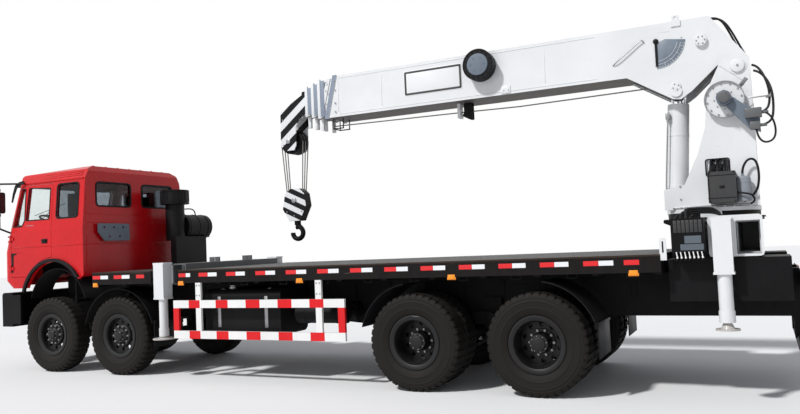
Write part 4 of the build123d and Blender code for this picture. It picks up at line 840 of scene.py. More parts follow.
# %% Rubber frames round the windows
REST_PANE = [(0.065, 2.295), (0.525, 2.295), (0.525, 2.815), (0.065, 2.815)]
DOOR_PANE = [(-0.615, 2.285), (-0.575, 2.805), (-0.078, 2.775), (-0.078, 2.285)]
QUARTER_PANE = [(-0.892, 2.20), (-0.728, 2.795), (-0.636, 2.803), (-0.628, 2.29), (-0.692, 2.20)]
for word, side in (("left", -1), ("right", 1)):
    rubber = bmesh.new()
    rim_frame(rubber, side_corners([(x - 0.012 if x < 0.3 else x + 0.012, z - 0.012 if z < 2.5 else z + 0.012)
                                    for x, z in REST_PANE], side, -0.004), 0.062, 0.024, (0, side * 0.011, 0))
    piece("rest_window_rubber_" + word, rubber, RUBBER_SEAL, "cab")
    rubber = bmesh.new()
    rim_frame(rubber, side_corners(DOOR_PANE, side, -0.004), 0.028, 0.016, (0, side * 0.010, 0), 3)
    rim_frame(rubber, side_corners(QUARTER_PANE, side, -0.004), 0.020, 0.014, (0, side * 0.010, 0), 3)
    piece("door_window_rubber_" + word, rubber, RUBBER_SEAL, "cab_door_" + word)
rubber = bmesh.new()
for y0, y1 in ((-0.812, -0.103), (0.103, 0.812)):
    rim_frame(rubber, [(0.636, y0, 2.443), (0.636, y1, 2.443), (0.636, y1, 2.832), (0.636, y0, 2.832)],
              0.070, 0.026, (0.012, 0, 0))
piece("rear_window_rubber", rubber, RUBBER_SEAL, "cab")
rubber = bmesh.new()
screen = [(front_wall(z) - 0.006, y, z) for y, z in ((-0.905, 2.212), (0.905, 2.212), (0.905, 2.868),
                                                     (-0.905, 2.868))]
rim_frame(rubber, screen, 0.075, 0.030, (-0.012, 0, 0.003))
piece("screen_rubber", rubber, RUBBER_SEAL, "cab")
print("window frames done")

# %% Waist crease, sill crease and roof ribs
crease = bmesh.new()
for side in (-1, 1):
    y = side * 1.06
    block(crease, (-0.03, 0.632), proud(y, side, 0.004, 0.008), (1.877, 1.893), 0.005)
    block(crease, (-0.985, -0.945), proud(y, side, 0.004, 0.008), (1.877, 1.893), 0.005)
block(crease, (0.637, 0.645), (-1.045, 1.045), (1.877, 1.893), 0.005)
for z in (2.20, 2.33):
    block(crease, (0.637, 0.6445), (-0.98, 0.98), (z, z + 0.010), 0.003)
for y in (-1.0, 0.99):
    block(crease, (0.637, 0.6445), (y, y + 0.010), (1.52, 2.80), 0.003)
piece("waist_crease", crease, CAB_RED, "cab")
ribs = bmesh.new()
for side in (-1, 1):
    for z in (2.915, 2.945, 2.975):
        y = side * (0.995 - 0.5185 * (z - 2.88))
        rod(ribs, (-0.70, y, z - 0.006), (0.575, y, z + 0.010), 0.0045, sides=8)
for y in (-0.72, -0.48, -0.24, 0.0, 0.24, 0.48, 0.72):
    rod(ribs, (-0.66, y, 3.0135), (0.52, y, 3.0755), 0.010, sides=10, rounding=0.003)
piece("roof_ribs", ribs, CAB_RED, "cab")
for word, side in (("left", -1), ("right", 1)):
    skin = bmesh.new()
    y = side * 1.06
    block(skin, (-0.868, -0.042), proud(y, side, 0.004, 0.008), (1.877, 1.893), 0.005)
    block(skin, (-0.90, -0.70), proud(y, side, 0.004, 0.004), (1.795, 1.803), 0.003)
    block(skin, (-0.90, -0.76), proud(y, side, 0.004, 0.004), (1.478, 1.486), 0.003)
    piece("door_crease_" + word, skin, CAB_RED, "cab_door_" + word)
    handle_and_recess_shade = bmesh.new()
    # The black plate at the door's lower front is painted shade: it stands in for the shade inside a pressed
    # recess.
    plate(handle_and_recess_shade, [(-0.945, y, 1.797), (-0.80, y, 1.797), (-0.835, y, 1.774), (-0.885, y, 1.758), (-0.895, y, 1.50),
                 (-0.928, y, 1.49)],
          (0, side * 0.0025, 0))
    block(handle_and_recess_shade, (-0.245, -0.115), proud(y, side, 0.004, 0.004), (1.925, 1.995), 0.0035)
    block(handle_and_recess_shade, (-0.232, -0.128), sorted((y + side * 0.003, y + side * 0.030)), (1.968, 1.984), 0.006, 3)
    rod(handle_and_recess_shade, (-0.15, y, 1.944), (-0.15, y + side * 0.010, 1.944), 0.011, sides=20, rounding=0.002)
    piece("door_handle_and_recess_shade_" + word, handle_and_recess_shade, BLACK_PLASTIC, "cab_door_" + word)
    strip = bmesh.new()
    block(strip, (-0.60, -0.43), span(side, 1.046, 1.056), (2.206, 2.216), 0.003)
    piece("door_strip_" + word, strip, BOLT_STEEL, "cab_door_" + word)
print("cab creases, ribs and handles done")

# %% Sun visor, wipers and mirror glasses
visor = bmesh.new()
plate(visor, [(-1.02, -0.93, 2.845), (-1.02, 0.93, 2.845), (-0.868, 0.90, 2.905), (-0.868, -0.90, 2.905)],
      (-0.002, 0, 0.006), 0.05, 5)
for y in (-0.75, 0.0, 0.75):
    rod(visor, (-0.90, y, 2.885), (-0.845, y, 2.93), 0.009, sides=10)
for y in (-1.006, 0.992):
    plate(visor, [(-0.70, y, 2.925), (-0.80, y, 2.915), (-0.90, y, 2.865), (-0.955, y, 2.74), (-0.99, y, 2.60),
                  (-0.965, y, 2.60),
                  (-0.915, y, 2.72), (-0.86, y, 2.82), (-0.79, y, 2.875), (-0.70, y, 2.89)], (0, 0.014, 0), 0.0, 4,
          0.003)
piece("sun_visor", visor, BLACK_PLASTIC, "cab")
wipers = bmesh.new()
for y in (-0.62, 0.16):
    foot = (front_wall(2.17) - 0.004, y, 2.17)
    tip = (front_wall(2.50) - 0.030, y + 0.34, 2.50)
    rod(wipers, foot, (foot[0] - 0.030, y, 2.175), 0.018, sides=16, rounding=0.003)
    rod(wipers, (foot[0] - 0.028, y, 2.175), tip, 0.007, 0.005, 8)
    rod(wipers, (tip[0] + 0.004, y + 0.02, 2.40), (tip[0] + 0.062, y + 0.58, 2.62), 0.005, sides=8)
piece("wipers", wipers, BLACK_PLASTIC, "cab")
glasses, shell = bmesh.new(), bmesh.new()
for side in (-1, 1):
    ys = span(side, 1.105, 1.255)
    plate(glasses, [(-1.0148, ys[0], 2.445), (-1.0148, ys[1], 2.445), (-1.0148, ys[1], 2.745),
                    (-1.0148, ys[0], 2.745)],
          (0.003, 0, 0), 0.03, 5)
    y_arm = side * 1.18
    for z in (2.40, 2.79):
        block(shell, (-1.062, -1.018), (y_arm - 0.016, y_arm + 0.016), (z - 0.02, z + 0.02), 0.006)
        studs(shell, [(-1.018, y_arm, z)], (1, 0, 0), 0.006, 0.006)
piece("mirror_glasses", glasses, MIRROR_DARK, "cab")
piece("mirror_clamps", shell, BLACK_PLASTIC, "cab")

# %% Grille bars and small front lamps
grille = bmesh.new()
for i in range(5):
    z = 1.480 + 0.070 * i
    block(grille, (-1.128, -1.10), (-0.617, 0.617), (z + 0.003, z + 0.012), 0.003)
    block(grille, (-1.128, -1.10), (-0.617, 0.617), (z + 0.020, z + 0.029), 0.003)
for y in (-0.3, 0.0, 0.3):
    block(grille, (-1.118, -1.108), (y - 0.006, y + 0.006), (1.484, 1.788), 0.002)
block(grille, (-1.062, -1.054), (-0.66, 0.66), (1.43, 1.87), 0.002)
piece("grille_bars", grille, BLACK_PLASTIC, "cab")
lamp_rims = bmesh.new()
for side in (-1, 1):
    for y_mid in (0.63, 0.79):
        spot = (-1.130, side * y_mid, 0.970)
        turned(lamp_rims, [(0.0, 0.052), (-0.006, 0.066), (-0.010, 0.066), (-0.006, 0.050), (0.0, 0.048)], spot,
               (1, 0, 0), 32)
piece("lamp_rims", lamp_rims, BOLT_STEEL, "chassis")
front_lamps = bmesh.new()
for side in (-1, 1):
    block(front_lamps, (-1.146, -1.134), span(side, 0.93, 1.03), (0.93, 1.01), 0.005)
piece("front_side_lamps", front_lamps, AMBER_LENS, "chassis")
print("front done")

# %% Behind the cab: intake rings, straps and the pipe between them
intake = bmesh.new()
for z in (2.500, 2.535, 2.700):
    hoop(intake, (1.0, 0.485, z), (0, 0, 1), 0.008, 0.223, 0.006, 0.233, 48)
for z in (2.02, 2.32):
    hoop(intake, (1.0, 0.485, z), (0, 0, 1), 0.014, 0.149, 0.014, 0.154, 40)
for y in (0.66, 0.88, 1.08):
    hoop(intake, (1.0, y, 2.125), (0, 1, 0), 0.016, 0.198, 0.014, 0.206, 40)
turned(intake, [(0.0, 0.185), (0.012, 0.175), (0.026, 0.120), (0.028, 0.0)], (1.0, 1.16, 2.125), (0, 1, 0), 40)
block(intake, (1.02, 1.10), (1.04, 1.20), (1.945, 1.985), 0.008)
piece("intake_rings", intake, BLACK_PLASTIC, "chassis")
slats = bmesh.new()
for i in range(14):
    angle = math.tau * i / 14
    x, y = 1.0 + 0.2255 * math.cos(angle), 0.485 + 0.2255 * math.sin(angle)
    rod(slats, (x, y, 2.545), (x, y, 2.690), 0.008, sides=8, rounding=0.002)
piece("intake_slats", slats, BLACK_PLASTIC, "chassis")
pipe("intake_bracket", [(1.0, 0.72, 2.42), (1.0, 0.84, 2.435), (1.0, 0.96, 2.40), (1.0, 0.97, 2.32)], 0.010,
     BLACK_PLASTIC, "chassis")
print("intake done")

# %% [markdown]
# ## Deck edge and side guard
# Red and white tape runs along the deck's edge, in pairs about half a metre apart, and red fields mark the white
# guard between the wheels. All are thin plates a millimetre or two proud, placed from a short list.

# %% Reflective tape on the deck's edge
TAPE_Z = (1.364, 1.414)
PAIR_STARTS = [2.967, 3.420, 3.885, 4.344, 4.801, 5.257, 5.712, 6.171, 6.632, 7.087, 7.540, 7.991, 1.030, 1.440]
# red from, red to, white from, white to; the first pair is a short one
TAPE_PAIRS = [(2.625, 2.745, 2.749, 2.824)] + [(x, x + 0.150, x + 0.153, x + 0.300) for x in PAIR_STARTS]
LONE_REDS = [1.862, 8.392]
red_tape, white_tape = bmesh.new(), bmesh.new()
for side in (-1, 1):
    ys = span(side, 1.2385, 1.2418)
    for red_from, red_to, white_from, white_to in TAPE_PAIRS:
        block(red_tape, (red_from, red_to), ys, TAPE_Z, 0.001, 1)
        block(white_tape, (white_from, white_to), ys, TAPE_Z, 0.001, 1)
    for x in LONE_REDS:
        block(red_tape, (x, x + 0.148), ys, TAPE_Z, 0.001, 1)
piece("deck_tape_red", red_tape, TAPE_RED, "chassis")
piece("deck_tape_white", white_tape, TAPE_WHITE, "chassis")
print("tape pairs on each side:", len(TAPE_PAIRS))

# %% Red fields and sleeves on the side guard
GUARD_FIELDS = [(2.785, 2.970), (3.235, 3.430), (3.715, 3.932), (4.205, 4.412), (4.672, 4.872)]
fields = bmesh.new()
for side in (-1, 1):
    ys = span(side, 1.2385, 1.2416)
    for x0, x1 in GUARD_FIELDS:
        for z0, z1 in ((0.5535, 0.6565), (0.9535, 1.0565)):
            block(fields, (x0, x1), ys, (z0, z1), 0.001, 1)
    start = 2.520 if side < 0 else 2.720
    for x in (start, 5.070):
        block(fields, (x - 0.0015, x + 0.0915), span(side, 1.2415, 1.2035), (0.657, 0.953), 0.0015, 1)
piece("guard_fields", fields, SIGNAL_RED, "chassis")
guard_bolts = bmesh.new()
for side in (-1, 1):
    for x in (2.925, 2.970, 4.780, 4.825):
        studs(guard_bolts, [(x, side * 1.240, z) for z in (1.12, 1.25)], (0, side, 0), 0.009, 0.008)
piece("guard_bolts", guard_bolts, BOLT_STEEL, "chassis")

# %% Deck fittings: marker lamps, rope hooks, edge dirt and bolts
MARKER_LAMPS = (1.080, 2.660, 4.540, 6.540, 8.480)
fittings, dirt = bmesh.new(), bmesh.new()
for side in (-1, 1):
    for x in MARKER_LAMPS:
        block(fittings, (x - 0.060, x + 0.060), span(side, 1.2395, 1.205), (1.276, 1.2855), 0.002)
        block(fittings, (x - 0.0575, x - 0.0505), span(side, 1.2415, 1.21), (1.252, 1.286), 0.002)
        block(fittings, (x + 0.0505, x + 0.0575), span(side, 1.2415, 1.21), (1.252, 1.286), 0.002)
    for i in range(10):
        x = 3.05 + i * 0.60
        rod(fittings, (x - 0.05, side * 1.16, 1.285), (x - 0.05, side * 1.16, 1.245), 0.008, sides=8)
        rod(fittings, (x + 0.05, side * 1.16, 1.285), (x + 0.05, side * 1.16, 1.245), 0.008, sides=8)
        rod(fittings, (x - 0.058, side * 1.16, 1.243), (x + 0.058, side * 1.16, 1.243), 0.008, sides=8)
    for x0, x1 in ((1.025, 2.125), (2.615, 8.735)):
        block(dirt, (x0, x1), span(side, 1.2412, 1.2370), (1.4435, 1.4612), 0.0006, 1)
lenses = bmesh.new()
for side in (-1, 1):
    for x in MARKER_LAMPS:
        block(lenses, (x - 0.043, x + 0.043), span(side, 1.2385, 1.2455), (1.262, 1.312), 0.003)
piece("marker_lenses", lenses, AMBER_LENS, "chassis")
piece("deck_fittings", fittings, FRAME_BLACK, "chassis")
piece("deck_edge_wear", dirt, EDGE_WEAR, "chassis")
frame_bolts = bmesh.new()
for side in (-1, 1):
    for i in range(46):
        x = -0.90 + i * 0.235
        for z in (0.835, 1.005):
            studs(frame_bolts, [(x, side * 0.425, z)], (0, side, 0), 0.010, 0.008)
    for i in range(18):
        x = 1.35 + i * 0.50
        block(frame_bolts, (x - 0.03, x + 0.03), span(side, 0.4255, 0.437), (0.98, 1.20), 0.003, 1)
        studs(frame_bolts, [(x, side * 0.437, z) for z in (1.02, 1.10, 1.16)], (0, side, 0), 0.009, 0.008)
piece("frame_bolts", frame_bolts, FRAME_BLACK, "chassis")
print("deck done")

# %% Tank straps and cap, air tank bands, mud flaps and spring clips
straps = bmesh.new()
for x in (3.18, 3.93):
    block(straps, (x - 0.025, x + 0.025), (-1.1035, -1.0975), (0.69, 1.09), 0.002)
    block(straps, (x - 0.025, x + 0.025), (-1.02, -0.50), (1.1795, 1.1855), 0.002)
    block(straps, (x - 0.025, x + 0.025), (-1.02, -0.50), (0.5945, 0.6005), 0.002)
rod(straps, (3.30, -0.95, 1.178), (3.30, -0.95, 1.215), 0.055, sides=28, rounding=0.006)
rod(straps, (3.30, -0.95, 1.214), (3.30, -0.95, 1.235), 0.048, sides=28, rounding=0.006)
piece("tank_straps", straps, BOLT_STEEL, "chassis")
air_bands = bmesh.new()
for y in (-0.93, -0.64):
    for x in (4.45, 4.90):
        hoop(air_bands, (x, y, 0.86), (1, 0, 0), 0.018, 0.124, 0.018, 0.129, 36)
    turned(air_bands, [(0.0, 0.12), (-0.022, 0.10), (-0.034, 0.06), (-0.038, 0.0)], (4.331, y, 0.86), (1, 0, 0), 36)
    turned(air_bands, [(0.0, 0.12), (0.022, 0.10), (0.034, 0.06), (0.038, 0.0)], (5.019, y, 0.86), (1, 0, 0), 36)
piece("air_tank_bands", air_bands, FRAME_BLACK, "chassis")
flaps = bmesh.new()
for side in (-1, 1):
    block(flaps, (8.092, 8.104), span(side, 0.62, 1.22), (0.42, 0.78), 0.004)
    block(flaps, (2.025, 2.036), span(side, 0.70, 1.10), (0.40, 0.76), 0.004)
    block(flaps, (8.085, 8.112), span(side, 0.60, 1.22), (0.755, 0.79), 0.004)
    block(flaps, (2.018, 2.043), span(side, 0.43, 1.10), (0.735, 0.77), 0.004)
piece("mud_flaps", flaps, RUBBER_SEAL, "chassis")
leaves = bmesh.new()
for side in (-1, 1):
    for x in (0.0, 1.37):
        for dx in (-0.05, 0.05):
            rod(leaves, (x + dx, side * 0.345, 0.70), (x + dx, side * 0.345, 0.53), 0.011, sides=8)
            rod(leaves, (x + dx, side * 0.424, 0.70), (x + dx, side * 0.424, 0.53), 0.011, sides=8)
        for dx in (-0.33, 0.33):
            block(leaves, (x + dx - 0.02, x + dx + 0.02), span(side, 0.340, 0.430), (0.66, 0.735), 0.004)
    for dx in (-0.30, 0.30):
        block(leaves, (6.74 + dx - 0.022, 6.74 + dx + 0.022), span(side, 0.463, 0.567), (0.66, 0.84), 0.004)
    rod(leaves, (6.74, side * 0.55, 0.76), (6.74, side * 0.60, 0.76), 0.075, sides=28, rounding=0.008)
piece("spring_clips", leaves, FRAME_BLACK, "chassis")
print("under the deck done")

# %% Rear end: lamp glasses, blank plate and tow eye
rear = bmesh.new()
for side in (-1, 1):
    for k in range(3):
        ys = span(side, 0.905 + 0.092 * k, 0.905 + 0.092 * k + 0.084)
        block(rear, (9.9985, 10.004), ys, (1.112, 1.218), 0.003)
piece("tail_glasses", rear, RED_LENS, "chassis")
rear = bmesh.new()
block(rear, (9.9722, 9.976), (-0.26, 0.26), (1.105, 1.225), 0.0015, 1)
piece("rear_blank_plate", rear, BLANK_PLATE, "chassis")
rear = bmesh.new()
turned(rear, [(-0.05, 0.035), (-0.05, 0.055), (0.03, 0.055), (0.03, 0.035), (-0.05, 0.035)], (9.985, 0.0, 0.93),
       (0, 0, 1), 28)
block(rear, (9.885, 9.955), (-0.09, 0.09), (0.87, 0.99), 0.01)
for y in (-1.08, -0.54, 0.0, 0.54, 1.08):
    studs(rear, [(9.98, y, 0.54)], (1, 0, 0), 0.010, 0.009)
piece("tow_eye", rear, FRAME_BLACK, "chassis")

# %% [markdown]
# ## Boom and telescope
# The near side of the boom carries a blank bordered plate, a tilt scale with a needle, and a bent guard rod. Each
# section's front end has its stop blocks, which ride on that section and so travel with it.

# %% Sign plate and tilt scale
sign = bmesh.new()
plate(sign, [(5.60, -0.2395, 3.578), (6.40, -0.2395, 3.578), (6.40, -0.2395, 3.899), (5.60, -0.2395, 3.899)],
      (0, -0.004, 0), 0.02, 4, 0.001)
piece("boom_sign", sign, SIGN_WHITE, "boom")
sign = bmesh.new()
rim_frame(sign, [(5.607, -0.2430, 3.585), (6.393, -0.2430, 3.585), (6.393, -0.2430, 3.892),
                 (5.607, -0.2430, 3.892)],
          0.02, 0.027, (0, -0.0016, 0), 4)
piece("boom_sign_border", sign, SIGN_INK, "boom")

scale = bmesh.new()
pivot = (8.712, -0.2395, 3.795)
sector = [(pivot[0] - 0.012, -0.2395, pivot[2] - 0.03), (pivot[0] + 0.096, -0.2395, pivot[2] + 0.013)]
sector += [(pivot[0] + 0.31 * math.cos(math.radians(a)), -0.2395, pivot[2] + 0.31 * math.sin(math.radians(a)))
           for a in range(-4, -92, -5)]
plate(scale, sector, (0, -0.005, 0), 0.0, 4, 0.001)
piece("tilt_scale", scale, SCALE_GREY, "boom")
marks = bmesh.new()
for radius in (0.305, 0.262, 0.225):
    arc = [(pivot[0] + radius * math.cos(math.radians(a)), pivot[2] + radius * math.sin(math.radians(a)))
           for a in range(-90, -7, 4)]
    for (x0, z0), (x1, z1) in zip(arc, arc[1:]):
        rod(marks, (x0, -0.2446, z0), (x1, -0.2446, z1), 0.0018, sides=6)
for a in range(-90, -7, 6):  # every third mark is longer
    c, s = math.cos(math.radians(a)), math.sin(math.radians(a))
    inner = 0.262 if a % 18 == 0 else 0.283
    rod(marks, (pivot[0] + inner * c, -0.2446, pivot[2] + inner * s),
        (pivot[0] + 0.303 * c, -0.2446, pivot[2] + 0.303 * s), 0.0016, sides=6)
piece("tilt_marks", marks, TAPE_WHITE, "boom")
needle = bmesh.new()
plate(needle, [(8.700, -0.250, 3.80), (8.726, -0.250, 3.80), (8.726, -0.250, 3.53), (8.713, -0.250, 3.50),
               (8.700, -0.250, 3.53)],
      (0, -0.003, 0), 0.0)
turned(needle, [(0.0, 0.0), (0.0, 0.030), (0.014, 0.027), (0.020, 0.012), (0.020, 0.0)], (8.713, -0.244, 3.795),
       (0, -1, 0), 28)
piece("tilt_needle", needle, BLACK_PLASTIC, "boom")
print("tilt scale done")

# %% Guard rod and pin caps
pipe("guard_rod", [(8.238, -0.243, 3.589), (8.26, -0.268, 3.605), (8.40, -0.268, 3.706), (8.548, -0.268, 3.822),
                   (8.575, -0.266, 3.826), (8.59, -0.243, 3.800)], 0.0062, BOLT_STEEL, "boom")
boom_bits, caps = bmesh.new(), bmesh.new()
for x, z in ((8.70, 3.52), (8.93, 3.70), (8.98, 3.80)):
    studs(boom_bits, [(x, -0.2444, z)], (0, -1, 0), 0.007, 0.004)
for y in (-1, 1):
    turned(caps, [(0.0, 0.0), (0.0, 0.060), (0.010, 0.066), (0.020, 0.060), (0.024, 0.0)],
           (9.175, y * 0.262, 3.731), (0, y, 0), 36)
    turned(caps, [(0.0, 0.0), (0.0, 0.050), (0.012, 0.054), (0.020, 0.048), (0.022, 0.0)],
           (8.895, y * 0.2395, 3.262), (0, y, 0), 36)
    studs(boom_bits, ring_places((8.895, y * 0.262, 3.262), 0.032, 4, "Y", 0.4), (0, y, 0), 0.007, 0.007)
    studs(boom_bits, [(9.52, y * 0.362, 3.39)], (0, y, 0), 0.012, 0.010)
    studs(boom_bits, ring_places((9.175, y * 0.284, 3.731), 0.042, 6, "Y"), (0, y, 0), 0.008, 0.008)
    turned(caps, [(0.0, 0.0), (0.0, 0.068), (0.014, 0.074), (0.028, 0.066), (0.034, 0.032), (0.034, 0.0)],
           (9.52, y * 0.327, 3.39), (0, y, 0), 40)
piece("pin_caps", caps, CRANE_WHITE, "boom")
piece("pin_cap_bolts", boom_bits, BOLT_STEEL, "boom")
print("boom side done")

# %% Weld seams and edge strips of the boom
seams = bmesh.new()
for side in (-1, 1):
    y = side * 0.2402
    for z in (3.466, 3.955):
        rod(seams, (4.62, y, z), (8.05, y, z), 0.0045, sides=6)
    for x in (4.60, 5.26, 7.44):
        block(seams, (x, x + 0.012), proud(y, side, 0.003, 0.004), (3.50, 3.92), 0.003)
    block(seams, (6.90, 7.02), proud(y, side, 0.003, 0.010), (3.44, 3.53), 0.005)
    studs(seams, [(6.93, y + side * 0.010, 3.485), (6.99, y + side * 0.010, 3.485)], (0, side, 0), 0.010, 0.009)
    for x in (5.0, 5.9, 6.8, 7.7):
        block(seams, (x - 0.035, x + 0.035), span(side, 0.205, 0.238), (3.989, 3.997), 0.003)
piece("boom_seams", seams, CRANE_WHITE, "boom")
bolts = bmesh.new()
for side in (-1, 1):
    for x in (4.42, 4.56):
        studs(bolts, [(x, side * 0.2475, z) for z in (3.50, 3.62, 3.80, 3.92)], (0, side, 0), 0.011, 0.010)
    studs(bolts, [(x, side * 0.07, 3.9995) for x in (5.15, 7.55)], (0, 0, 1), 0.012, 0.010)
piece("collar_bolts", bolts, BOLT_STEEL, "boom")

# %% Stop blocks at the sections' fronts
for body in ("section_2", "section_3", "section_4"):
    low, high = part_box("boom_" + body)
    front, half, foot, top = low.x - SHIFT, high.y, low.z, high.z
    flange = bmesh.new()
    for side in (-1, 1):
        block(flange, (front - 0.002, front + 0.042), span(side, half - 0.03, half + 0.004),
              (foot - 0.003, top + 0.003), 0.003)
        block(flange, (front + 0.002, front + 0.046), span(side, half - 0.105, half - 0.060),
              (foot - 0.155, foot + 0.012), 0.005)
    piece("flange_" + body, flange, CRANE_WHITE, body)
    # The blue-grey bands just behind each front are painted shade of the recess there.
    band = bmesh.new()
    for side in (-1, 1):
        block(band, (front + 0.044, front + 0.108), span(side, half - 0.01, half + 0.002),
              (foot + 0.02, top - 0.02), 0.0015)
    piece("shade_band_" + body, band, COLLAR_SHADE, body)
    stops = bmesh.new()
    for side in (-1, 1):
        studs(stops, [(front - 0.002, side * (half - 0.018), foot + part * (top - foot)) for part in (0.15, 0.4,
                                                                                                      0.65, 0.9)],
              (-1, 0, 0), 0.008, 0.007)
    piece("flange_bolts_" + body, stops, BOLT_STEEL, body)
print("sections done")

# %% [markdown]
# ## Ropes and reels
# The winch rope runs under the boom and over a guide roller. Its four strands wind round each other, so light
# breaks on it as on real wire. It rides on the boom's base and ends in the guide at its front.


# %% Laid rope
ROPE_R = 0.0085
ROPE_PITCH = 0.14
ROPE_STRANDS = 4
STRAND_SIDES = 5
STRAND_TURN = 1.2566  # a fifth of a turn


def laid_rope(name, start, end):
    """A rope of round strands that wind along a straight line."""
    shape = bmesh.new()
    a, b = at(*start), at(*end)
    way = (b - a).normalized()
    side = way.orthogonal().normalized()
    other = way.cross(side)
    length = (b - a).length
    steps = max(8, int(length / ROPE_PITCH * 8))
    for strand in range(ROPE_STRANDS):
        turn0 = math.tau * strand / ROPE_STRANDS
        last = None
        for i in range(steps + 1):
            angle = turn0 + math.tau * (length * i / steps) / ROPE_PITCH
            out = side * math.cos(angle) + other * math.sin(angle)
            middle = a + way * (length * i / steps) + out * ROPE_R * 0.5
            ring = []
            for k in range(STRAND_SIDES):
                out = side * math.cos(k * STRAND_TURN) + other * math.sin(k * STRAND_TURN)
                ring.append(shape.verts.new(middle + out * ROPE_R * 0.55))
            if last:
                for k in range(STRAND_SIDES):
                    after = (k + 1) % STRAND_SIDES
                    shape.faces.new((last[k], last[after], ring[after], ring[k]))
            last = ring
    return piece(name, shape, WIRE_STEEL, "boom", sharp=70)


ROPE_PLACES = [(8.55, 0.0, 3.325), (7.054, 0.0, 3.305), (6.35, 0.0, 3.320), (4.40, 0.0, 3.350)]
for word, start, end in zip(("rear", "middle", "front"), ROPE_PLACES, ROPE_PLACES[1:]):
    laid_rope("hoist_rope_" + word, start, end)
print("rope laid")

# %% Guides that the rope runs through
CHEEK = [(6.33, 3.43), (6.44, 3.43), (6.44, 3.215), (6.40, 3.215), (6.30, 3.27), (6.33, 3.30)]
guide = bmesh.new()
for y in (-0.040, 0.028):
    plate(guide, [(x, y, z) for x, z in CHEEK], (0, 0.012, 0), 0.012, 3, 0.002)
turned(guide, [(-0.026, 0.0), (-0.026, 0.034), (-0.018, 0.034), (-0.008, 0.024), (0.008, 0.024), (0.018, 0.034),
               (0.026, 0.034), (0.026, 0.0)],
       (6.385, 0.0, 3.290), (0, 1, 0), 32)
rod(guide, (6.385, -0.046, 3.290), (6.385, 0.046, 3.290), 0.010, sides=16, rounding=0.002)
for y in (-0.085, 0.085):
    for x in (4.43, 4.58):
        rod(guide, (x, y, 3.43), (x, y, 3.300), 0.008, sides=10)
    rod(guide, (4.422, y, 3.300), (4.588, y, 3.300), 0.008, sides=10)
rod(guide, (4.43, -0.085, 3.300), (4.43, 0.085, 3.300), 0.008, sides=10)
piece("rope_guides", guide, FRAME_BLACK, "boom")
guide = bmesh.new()
block(guide, (6.245, 6.285), (-0.055, 0.055), (3.245, 3.432), 0.004)
piece("rope_guide_post", guide, CRANE_WHITE, "boom")
print("ropes done")


# %% Cable reel: windings, ribs on its flange and a cover disc
def on_reel(y, along=0.0, up=0.0):
    return (6.665 + along, y, 3.81 + up)


reel = bmesh.new()
for k in range(9):
    turned(reel, [(-0.0065, 0.0), (-0.0065, 0.150), (0.0, 0.1585), (0.0065, 0.150), (0.0065, 0.0)],
           on_reel(-0.268 - k * 0.0125), (0, 1, 0), 40)
piece("reel_windings", reel, HOSE_BLACK, "boom")
reel = bmesh.new()
for k in range(16):
    angle = math.tau * k / 16
    c, s = math.cos(angle), math.sin(angle)
    rod(reel, on_reel(-0.3915, 0.150 * c, 0.150 * s), on_reel(-0.3915, 0.180 * c, 0.180 * s), 0.006, sides=8)
turned(reel, [(0.0, 0.178), (0.006, 0.182), (0.010, 0.190), (0.006, 0.193), (0.0, 0.190)],
       on_reel(-0.388), (0, -1, 0), 48)
piece("reel_flange", reel, BLACK_PLASTIC, "boom")
reel = bmesh.new()
turned(reel, [(0.0, 0.0), (0.0, 0.132), (0.008, 0.136), (0.020, 0.130), (0.024, 0.100), (0.026, 0.0)],
       on_reel(-0.388), (0, -1, 0), 48)
studs(reel, ring_places(on_reel(-0.412), 0.085, 6, "Y"), (0, -1, 0), 0.008, 0.006)
piece("reel_cover", reel, PLATE_GREY, "boom")
print("reel done")

# %% [markdown]
# ## Column and winch
# The winch on the near column plate gets its bolts, gear cover and motor. Each hose is a smooth line with a round
# section, its points listed. Hoses at the column ride on it, and those on top of the boom ride on the
# boom, so none runs across the boom's pivot. One clip is round boom_hose_1.


# %% Winch and its motor
def on_winch(y):
    return (9.375, y, 3.04)


winch = bmesh.new()
studs(winch, ring_places(on_winch(-0.3805), 0.168, 12, "Y", 0.13), (0, -1, 0), 0.010, 0.010)
studs(winch, ring_places(on_winch(-0.3805), 0.100, 8, "Y"), (0, -1, 0), 0.008, 0.008)
turned(winch, [(0.0, 0.196), (-0.008, 0.199), (-0.018, 0.196), (-0.018, 0.188), (0.0, 0.188)],
       on_winch(-0.385), (0, 1, 0), 64)
piece("winch_bolts", winch, BOLT_STEEL, "crane_column")
motor = bmesh.new()
rod(motor, on_winch(-0.515), on_winch(-0.545), 0.060, sides=32, rounding=0.006)
studs(motor, ring_places(on_winch(-0.545), 0.042, 6, "Y"), (0, -1, 0), 0.006, 0.006)
block(motor, (9.56, 9.72), (-0.53, -0.45), (2.80, 2.90), 0.008)
block(motor, (9.60, 9.70), (-0.52, -0.45), (2.68, 2.76), 0.008)
rod(motor, (9.70, -0.49, 2.72), (9.76, -0.49, 2.72), 0.016, sides=6)
rod(motor, (9.72, -0.49, 2.85), (9.78, -0.49, 2.85), 0.016, sides=6)
piece("winch_motor", motor, BOX_GREY, "crane_column")
print("winch done")

